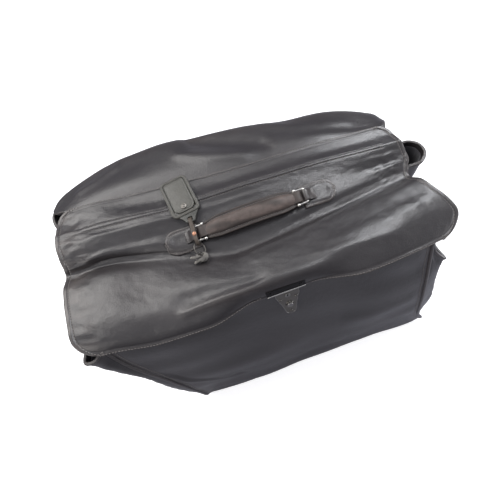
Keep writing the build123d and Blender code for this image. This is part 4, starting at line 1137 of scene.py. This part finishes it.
# ---------------------------------------------------------------- handle
def make_handle():
    """Padded cover sewn round its edge, over a strap that loops round both pins."""
    half = HANDLE_HALF - 2.6
    along = np.r_[-half, -half + 0.6, -half + 1.6, np.linspace(-half + 3, half - 3, 76), half - 1.6,
                  half - 0.6, half]
    share = np.r_[-1, -0.96, -0.9, -0.84, -0.78, -0.72, np.linspace(-0.66, 0.66, 17), 0.72, 0.78, 0.84, 0.9,
                  0.96, 1]
    width = 8.8 + 3.9 * np.clip((half - np.abs(along)) / 18, 0, 1) ** 0.6
    base = 4.8 + HANDLE_RISE * (1 - (along / HANDLE_HALF) ** 2)
    swell = np.clip(0.5 + 0.5 * (half - np.abs(along)) / 12, 0, 1) ** 0.5
    grid = np.empty((len(share), len(along), 3))
    for i, k in enumerate(share):
        across = k * width
        dome = np.clip(1 - (np.abs(k) / 0.76) ** 2.4, 0, 1) ** 0.62
        grid[i] = np.c_[along, -across, base + 1.8 + 5.0 * dome * swell]
    field = grid * np.array([1, 1, 0])
    padded = np.clip(1 - (np.abs(share) / 0.78) ** 6, 0, 1)[:, None]
    rub_and_highlight_mask = np.clip(padded * (1.25 + 0.5 * ripples(field, (46, 22, 1), 81)), 0.08, 1)
    grid[..., 2] += 0.30 * ripples(field, (30, 14, 1),
                                   83) - 0.55 * np.exp(-((np.abs(share) - 0.80) / 0.035) ** 2)[:, None]
    world = top(grid.reshape(-1, 3)).reshape(grid.shape)
    floor_height = np.broadcast_to(base, grid.shape[:2])
    drop = -(grid[..., 2] - floor_height)[..., None] * top.n
    cover = shell("handle_cover_leather", world, 1.0, GRIP, wear_and_highlight=rub_and_highlight_mask, under=drop)
    parts = [cover]
    lines = []
    for side in (-1, 1):
        row = int(np.argmin(np.abs(share - side * 0.80)))
        way = normals_of(world)[row]
        lines.append((world[row, 2:-2] + way[2:-2] * 0.1, way[2:-2]))
    parts.append(stitches("handle_stitches", lines, THREAD, 3.2, 2.3, 0.36))
    edge_rows = [top(np.c_[along, s * width, base + 0.9]) for s in (-1, 1)]
    for k, row in enumerate(edge_rows):
        parts.append(tube(f"handle_edge_{k}", row, 0.95, GRIP))
    run = np.linspace(-HANDLE_HALF + 2, HANDLE_HALF - 2, 60)
    strap = np.c_[run, np.zeros(60), 3.7 + HANDLE_RISE * (1 - (run / HANDLE_HALF) ** 2)]
    taper = 0.52 + 0.48 * np.clip((HANDLE_HALF - 6 - np.abs(run)) / 20, 0, 1)
    parts.append(sweep("handle_strap", top(strap), rounded(26.0, 2.2, 0.8, 4), top.b, GRIP, widths=taper))
    slot = RING_REACH - math.sqrt(RING_REACH ** 2 - HANDLE_LIFT ** 2)
    for end in (-1, 1):
        outer = [(HANDLE_HALF - 9, 4.0), (HANDLE_HALF - 3, 3.3), (HANDLE_HALF + slot / 2, 3.2),
                 (HANDLE_HALF + slot + 2.2, 4.2), (HANDLE_HALF + slot + 3.3, RING_HEIGHT),
                 (HANDLE_HALF + slot + 2.2, 8.8), (HANDLE_HALF + slot / 2, 9.6), (HANDLE_HALF - 1, 9.4),
                 (HANDLE_HALF - 5, 8.4), (HANDLE_HALF - 10, 6.8)]
        line = along_path([(end * a, 0, h) for a, h in outer], np.linspace(0, 1, 44))
        parts.append(sweep(f"handle_loop_{end}", top(line), rounded(14.6, 1.9, 0.7, 4), top.b, GRIP))
    made = join("handle_leather_grip", parts)
    stand_in(made, "handle", "handle_leather", "handle_base", "handle_core", "handle_cover")


make_handle()


# ---------------------------------------------------------------- strap, tag and keys
STRAP_X = -70.6
STRAP_REAR, STRAP_FRONT, STRAP_MIDDLE = 14.5, -8.0, 8.0    # centres of the loop's two bends, and their height
strap_side = top.shifted(STRAP_X, 0)


def make_strap():
    rear, front, middle, radius = STRAP_REAR, STRAP_FRONT, STRAP_MIDDLE, 6.5
    path = [(0, rear + radius * math.sin(a), middle + radius * math.cos(a))
            for a in np.linspace(0, math.pi, 16)]
    path += [(0, front - radius * math.sin(a), middle - radius * math.cos(a))
             for a in np.linspace(0, math.pi, 16)]
    line = resample(strap_side(path), 1.0, closed=True)
    loop = sweep("tag_strap_loop", line, rounded(4.6, 1.2, 0.5, 4), (1, 0, 0), STRAP, closed=True)
    stand_in(loop, "flap_top", "strap_leather", "tag_strap")
    head = strap_side.shifted(0, -2, 15.1)
    profile = [(1.2, -1.5), (1.2, 0.0), (2.55, 0.02), (2.6, 0.35), (2.3, 0.8), (1.6, 1.05), (0.9, 1.12),
               (0.05, 1.14)]
    rivet = lathe("strap_rivet_copper", profile, head, COPPER)
    stand_in(rivet, "flap_top", "copper", "strap_rivet")


make_strap()

droop = math.radians(8.5)
neck = Place(strap_side([(0, STRAP_REAR, STRAP_MIDDLE)])[0], (1, 0, 0),
             (0, math.cos(slope - droop), math.sin(slope - droop)))
tag = neck.shifted(-5.0, 41.5, 0, 8)
TAG_SIZE = (37.0, 57.0)
SNAP_Y = -(TAG_SIZE[1] / 2 - 4 - 7.5)


def make_tag():
    """Back leaf with a sewn raised border, and the neck the strap passes through."""
    outline = rounded(*TAG_SIZE, 7.0, 8)
    outline = resample(outline, 1.6, closed=True)
    steps = [(1.0, -1.1), (0.25, -0.95), (0, -0.5), (0, 2.0), (0.3, 2.5), (0.9, 2.75), (1.6, 2.8),
             (1.9, 2.45), (2.2, 2.75),
             (3.2, 2.75), (3.8, 2.5), (4.1, 2.0), (4.2, 1.1)]
    body = pad("tag_leaf", outline, steps, tag, TAG)
    ring = inset(outline, 1.9)
    line = tag(np.c_[ring, np.full(len(ring), 2.72)])
    sewn = stitches("tag_stitches", [(np.r_[line, line[:1]], np.tile(tag.n, (len(line) + 1, 1)))], THREAD,
                    2.6, 1.9, 0.3)
    shoulder = [(-5.6, 1.6), (5.6, 1.6), (6.6, 5), (9.4, 10), (12.6, 15.5), (13.4, 22), (-19.5, 22),
                (-18, 16.5),
                (-12, 11), (-6.8, 5.4)]
    slot = rounded(6.2, 4.4, 1.6, 5) + np.array([0, 6.6])
    yoke = plate("tag_neck", [resample(shoulder, 1.5, closed=True), slot], -1.1, 1.5, neck, TAG, 0.5)
    made = join("tag_leather_body", [body, sewn, yoke])
    stand_in(made, "tag", "tag_leather", "tag_body")

    leaf = rounded(28.0, 48.0, [4.0, 4.0, 9.0, 9.0], 8)
    leaf = resample(leaf, 1.6, closed=True)
    low = 1.7
    steps = [(0.8, low), (0.1, low + 0.2), (0, low + 0.8), (0.15, low + 1.3), (0.5, low + 1.55),
             (1.0, low + 1.6),
             (1.5, low + 1.25), (2.2, low + 1.6), (3.4, low + 1.75)]
    cover = pad("tag_cover_leather", leaf, steps, tag, TAG)
    stand_in(cover, "tag_cover", "tag_leather", "tag_cover")
    cap_at = tag.shifted(0, SNAP_Y, low + 1.9)
    profile = [(3.9, -0.4), (4.0, 0.2), (3.95, 0.55), (3.5, 0.9), (2.7, 1.0), (2.45, 0.82), (2.2, 1.15),
               (1.2, 1.5),
               (0.05, 1.6)]
    cap = lathe("tag_snap_nickel", profile, cap_at, GUN)
    stand_in(cap, "tag_cover", "dark_metal", "tag_snap_cap")


make_tag()


def make_keys():
    """Split ring and two small keys on the front end of the strap."""
    centre = top.shifted(STRAP_X, -19.2, 7.3)
    r = math.radians(45)
    across = centre.a * math.cos(r) - centre.n * math.sin(r)
    ring_frame = Place(centre.origin, top.b, across)
    turns = np.linspace(0, 4 * math.pi, 120)
    coil = np.c_[8.0 * np.cos(turns), 8.0 * np.sin(turns), 0.42 * np.tanh((turns - 2 * math.pi) * 1.2)]
    ring = tube("key_ring_nickel", ring_frame(coil), 0.42, GUN)
    keys = (("key_1", 7.3, -69.5, -30.5, 200, STRAP_X), ("key_2", 9.1, -72.1, -30.5, 165, STRAP_X - 1.8))
    for name, height, bow_x, bow_y, angle, hole_x in keys:
        r = math.radians(angle)
        turn = np.array([[math.cos(r), math.sin(r)], [-math.sin(r), math.cos(r)]])
        bow = [(6 * math.cos(a), 6 * math.sin(a)) for a in np.linspace(0.36, 2 * math.pi - 0.36, 34)]
        blade = [(6.4, -1.8), (7.0, -1.1), (7.8, -1.8), (8.8, -1.8), (9.6, -0.9), (10.4, -1.8),
                 (11.4, -1.8), (12.0, -0.8),
                 (13.4, -0.4), (13.0, 1.4), (6.2, 1.8)]
        outline = np.array(bow + blade) @ turn
        hole = circle(2.2, 20) + np.array([hole_x - bow_x, -27.2 - bow_y])
        at = top.shifted(bow_x, bow_y, 0)
        key = plate(name + "_cut", [outline, hole], height - 0.75, height + 0.75, at, GUN, 0.25)
        stand_in(key, "keys", "dark_metal", name)
    stand_in(ring, "keys", "dark_metal", "key_ring")


make_keys()


# ---------------------------------------------------------------- lock
CASE_DEPTH, PLATE = 6.0, 1.2
BARREL_V, BUTTON_V = 15.0, -4.0
BAR_LOW, BAR_HEIGHT, BAR_WIDTH, BAR_OUT = 22.5, 10.0, 47.0, 6.2
RIVETS = ((-9.6, 8), (9.6, 8), (0, -19.5))
BAR_BACK = BAR_OUT - 3.6 - 0.6 - PLATE


def arc(start, middle, end, count=10):
    """Points on the circle through three points."""
    (ax, ay), (bx, by), (cx, cy) = start, middle, end
    d = 2 * (ax * (by - cy) + bx * (cy - ay) + cx * (ay - by))
    a2, b2, c2 = ax ** 2 + ay ** 2, bx ** 2 + by ** 2, cx ** 2 + cy ** 2
    ux = (a2 * (by - cy) + b2 * (cy - ay) + c2 * (ay - by)) / d
    uy = (a2 * (cx - bx) + b2 * (ax - cx) + c2 * (bx - ax)) / d
    first, mid, last = (math.atan2(y - uy, x - ux) for x, y in (start, middle, end))
    span = (last - first) % (2 * math.pi)
    if (mid - first) % (2 * math.pi) > span:
        span -= 2 * math.pi
    radius = math.hypot(ax - ux, ay - uy)
    return [(ux + radius * math.cos(first + span * k / count),
             uy + radius * math.sin(first + span * k / count))
            for k in range(count + 1)]


def make_lock():
    """Shield with button and key barrel on the front panel, and the bar on the flap's edge."""
    side = arc((14.6, 15), (9.8, -3), (6.8, -19))
    shield = side[::-1] + [(14.6, 22.1), (-14.6, 22.1)] + [(-x, y) for x, y in side]
    shield = shield + arc((-6.8, -19), (0, -25), (6.8, -19))[1:-1]
    rim = inset(resample(shield, 1.0, closed=True), 0.45)
    bead = tube("shield_rim", lock(np.c_[rim, np.full(len(rim), CASE_DEPTH + PLATE - 0.1)]), 0.42, STEEL,
                closed=True)
    holes = [circle(4.06, 28) + np.array([0, BUTTON_V]), circle(3.45, 24) + np.array([0, BARREL_V])]
    front = plate("shield", [shield] + holes, CASE_DEPTH + 0.05, CASE_DEPTH + PLATE, lock, GUN, 0.3)
    collar = [(5.6, 7.2), (5.55, 7.55), (5.1, 7.85), (4.5, 7.85), (4.15, 7.5), (4.12, 7.1)]
    frame_ring = lathe("button_collar", [(5.6, 7.0)] + collar, lock.shifted(0, BUTTON_V), GUN)
    foot = lathe("shield_foot", [(3.9, 0.1), (3.9, 6.0), (3.0, 6.02)], lock.shifted(0, -19.5), GUN)
    made = join("lock_plate_metal", [front, frame_ring, foot, bead])
    stand_in(made, "bag", "dark_metal", "lock_plate")

    dome = [(2.3, 7.2), (2.3, 7.45), (2.0, 7.85), (1.3, 8.1), (0.05, 8.2)]
    heads = [lathe("rivet_head", dome, lock.shifted(u, v), GUN, 20) for u, v in RIVETS]
    tails = [lathe("rivet_tail", [(1.5, -7.6), (2.5, -7.4), (2.5, -6.9), (1.5, -6.85), (1.5, 7.2)],
                   lock.shifted(u, v), GUN, 20)
             for u, v in RIVETS]
    made = join("lock_rivets_metal", heads + tails)
    stand_in(made, "bag", "dark_metal", "lock_rivets")

    profile = [(1.5, 3.5), (1.55, 4.4), (3.95, 4.42), (4.0, 8.9), (3.8, 9.5), (3.3, 9.85), (2.7, 9.9),
               (2.2, 9.7), (1.2, 9.55),
               (0.05, 9.5)]
    button = lathe("lock_button_metal", profile, lock.shifted(0, BUTTON_V), STEEL)
    stand_in(button, "lock_button", "spring_steel", "lock_button")

    keyway = np.array([(-0.5, -2.2), (0.5, -2.2), (0.5, 0.2)]
                      + arc((0.9, 0.9), (0, 2.3), (-0.9, 0.9), 8) + [(-0.5, 0.2)])
    at = lock.shifted(0, BARREL_V)
    face = plate("barrel_face", [circle(3.38, 28), keyway], 6.6, 7.85, at, STEEL, 0.25)
    # The well behind the barrel's face is painted near-black: painted shade seen through the keyway and round
    # the barrel.
    well = lathe("barrel_well", [(3.0, 1.0), (3.35, 1.1), (3.35, 6.55), (3.2, 6.58), (0.05, 6.58)], at, KEYHOLE_SHADE)
    barrel = join("lock_barrel_metal", [face, well])
    stand_in(barrel, "lock_barrel", "dark_metal", "lock_barrel")

    low, back, out = BAR_LOW, BAR_BACK, BAR_OUT + PLATE
    channel = [(low, back), (low + 9, back), (low + 9, back + PLATE), (low + PLATE, back + PLATE),
               (low + PLATE, BAR_OUT),
               (low + BAR_HEIGHT, BAR_OUT), (low + BAR_HEIGHT, out), (low, out)]
    end_on = Place(lock([(0, 0, 0)])[0], lock.b, lock.n)
    bar = plate("bar_channel", [channel], -BAR_WIDTH / 2, BAR_WIDTH / 2, end_on, PAINT, 0.3)
    lip = lock([(u, low + 0.5, out - 0.1)
                for u in np.linspace(-BAR_WIDTH / 2 + 0.6, BAR_WIDTH / 2 - 0.6, 40)])
    parts = [bar, tube("bar_lip", lip, 0.75, NICKEL)]
    for side in (-1, 1):
        tooth = np.array([(-2.3, 0.6), (-2.3, -4.6), (-1.7, -5.2), (1.7, -5.2), (2.3, -4.6), (2.3, 0.6)])
        parts.append(plate("prong", [tooth], back, back + PLATE, lock.shifted(side * 9.2, low), GUN, 0.2))
    made = join("lock_bar_metal", parts)
    stand_in(made, "flap_front", "dark_metal", "lock_bar")
    cap = [(1.0, back - 0.5), (1.9, back - 0.4), (1.9, back - 0.05), (1.0, back), (1.0, out),
           (1.9, out + 0.02), (1.9, out + 0.2),
           (1.5, out + 0.5), (0.05, out + 0.62)]
    rivets = join("bar_rivets_metal", [lathe("bar_rivet", cap, lock.shifted(u, low + 6), PAINT,
                                             18) for u in (-18, 18)])
    stand_in(rivets, "flap_front", "dark_metal", "bar_rivets")


make_lock()

PLAIN_NODES = {"lock_case": GUN, "lock_backing_plate": STEEL, "lock_spring": STEEL, "lock_catch": STEEL,
               "tag_card": PAPER, "tag_snap_stud": GUN}
for name, finish_of in PLAIN_NODES.items():
    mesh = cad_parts[name].data
    mesh.materials.clear()
    mesh.materials.append(finish_of)


# ---------------------------------------------------------------- floor, light and camera
def make_stage():
    """White paper floor, an overcast world and soft lights."""
    white, nodes, links, surface = material("paper_floor")
    surface.inputs["Roughness"].default_value = 0.9
    surface.inputs["Specular IOR Level"].default_value = 0.1
    seen = node(nodes, "ShaderNodeLightPath")
    shade = node(nodes, "ShaderNodeMixRGB")
    shade.inputs["Color1"].default_value = (0.30, 0.30, 0.33, 1)
    shade.inputs["Color2"].default_value = (0.95, 0.95, 0.955, 1)
    links.new(seen.outputs["Is Camera Ray"], shade.inputs["Fac"])
    links.new(shade.outputs["Color"], surface.inputs["Base Color"])
    surface.inputs["Emission Color"].default_value = (1, 1, 1, 1)
    lift = node(nodes, "ShaderNodeMath", operation="MULTIPLY")
    lift.inputs[1].default_value = 0.55
    links.new(seen.outputs["Is Camera Ray"], lift.inputs[0])
    links.new(lift.outputs["Value"], surface.inputs["Emission Strength"])
    wide = 6000.0
    ground = build("floor", [(-wide, -wide, -0.2), (wide, -wide, -0.2), (wide, wide, -0.2),
                             (-wide, wide, -0.2)],
                   [(0, 1, 2, 3)], white, smooth=False)

    world = bpy.data.worlds.new("studio")
    bpy.context.scene.world = world
    world.use_nodes = True
    nodes, links = world.node_tree.nodes, world.node_tree.links
    where = nodes.new("ShaderNodeTexCoord")
    split = nodes.new("ShaderNodeSeparateXYZ")
    ramp = nodes.new("ShaderNodeValToRGB")
    links.new(where.outputs["Generated"], split.inputs["Vector"])
    links.new(split.outputs["Z"], ramp.inputs["Fac"])
    seen = nodes.new("ShaderNodeLightPath")
    pale = nodes.new("ShaderNodeMixRGB")
    pale.inputs["Color2"].default_value = (1.1, 1.1, 1.1, 1)
    links.new(seen.outputs["Is Camera Ray"], pale.inputs["Fac"])
    links.new(ramp.outputs["Color"], pale.inputs["Color1"])
    links.new(pale.outputs["Color"], nodes["Background"].inputs["Color"])
    ramp.color_ramp.elements[0].position = 0.0
    ramp.color_ramp.elements[0].color = (0.10, 0.10, 0.13, 1)
    ramp.color_ramp.elements[1].position = 0.85
    ramp.color_ramp.elements[1].color = (0.56, 0.57, 0.62, 1)
    nodes["Background"].inputs["Strength"].default_value = 0.9

    def softbox(name, location, aim, size, watts, colour):
        light = bpy.data.lights.new(name, "AREA")
        light.shape = "RECTANGLE"
        light.size, light.size_y = size
        light.energy = watts
        light.color = colour
        lamp = bpy.data.objects.new(name, light)
        bpy.context.scene.collection.objects.link(lamp)
        lamp.location = location
        lamp.rotation_mode = "QUATERNION"
        lamp.rotation_quaternion = (Vector(aim) - Vector(location)).to_track_quat("-Z", "Y")
        return lamp

    softbox("overhead", (-0.75, 0.8, 1.6), (-0.1, 0, 0.2), (1.3, 0.9), 17, (1.0, 0.98, 0.95))
    softbox("window", (1.15, 0.9, 1.55), (0.1, 0, 0.3), (0.5, 0.5), 12, (0.95, 0.97, 1.0))
    softbox("bulge", (0.75, 0.25, 1.8), (0.1, -0.05, 0.3), (0.4, 0.28), 8, (0.97, 0.98, 1.0))
    softbox("kicker", (1.1, -0.25, 0.30), (0.2, -0.12, 0.15), (0.7, 0.45), 6, (0.97, 0.98, 1.0))
    softbox("fill", (-1.3, -0.9, 1.2), (0, 0, 0.2), (1.2, 1.0), 9, (1.0, 0.96, 0.92))


def make_camera():
    """Camera high in front of the bag, turned slightly left and rolled."""
    target = np.array([-22, 5.5, 200])
    yaw, rise, roll = (math.radians(v) for v in (-1.3, 64.3, 18.5))
    back = np.array([math.sin(yaw) * math.cos(rise), -math.cos(yaw) * math.cos(rise), math.sin(rise)])
    right = unit(np.cross(-back, [0, 0, 1]))
    up = np.cross(back, right)
    across = math.cos(roll) * right - math.sin(roll) * up
    head = math.sin(roll) * right + math.cos(roll) * up
    lens = bpy.data.cameras.new("camera")
    lens.sensor_width = 36.0
    lens.lens = 26.57
    lens.clip_start, lens.clip_end = 0.01, 60
    eye = bpy.data.objects.new("camera", lens)
    bpy.context.scene.collection.objects.link(eye)
    turn = Matrix((across, head, back)).transposed().to_4x4()
    eye.matrix_world = Matrix.Translation(Vector((target + back * 561.0) * MM)) @ turn
    bpy.context.scene.camera = eye


make_stage()
make_camera()
scene = bpy.context.scene
scene.view_settings.view_transform = "Standard"
scene.view_settings.look = "None"
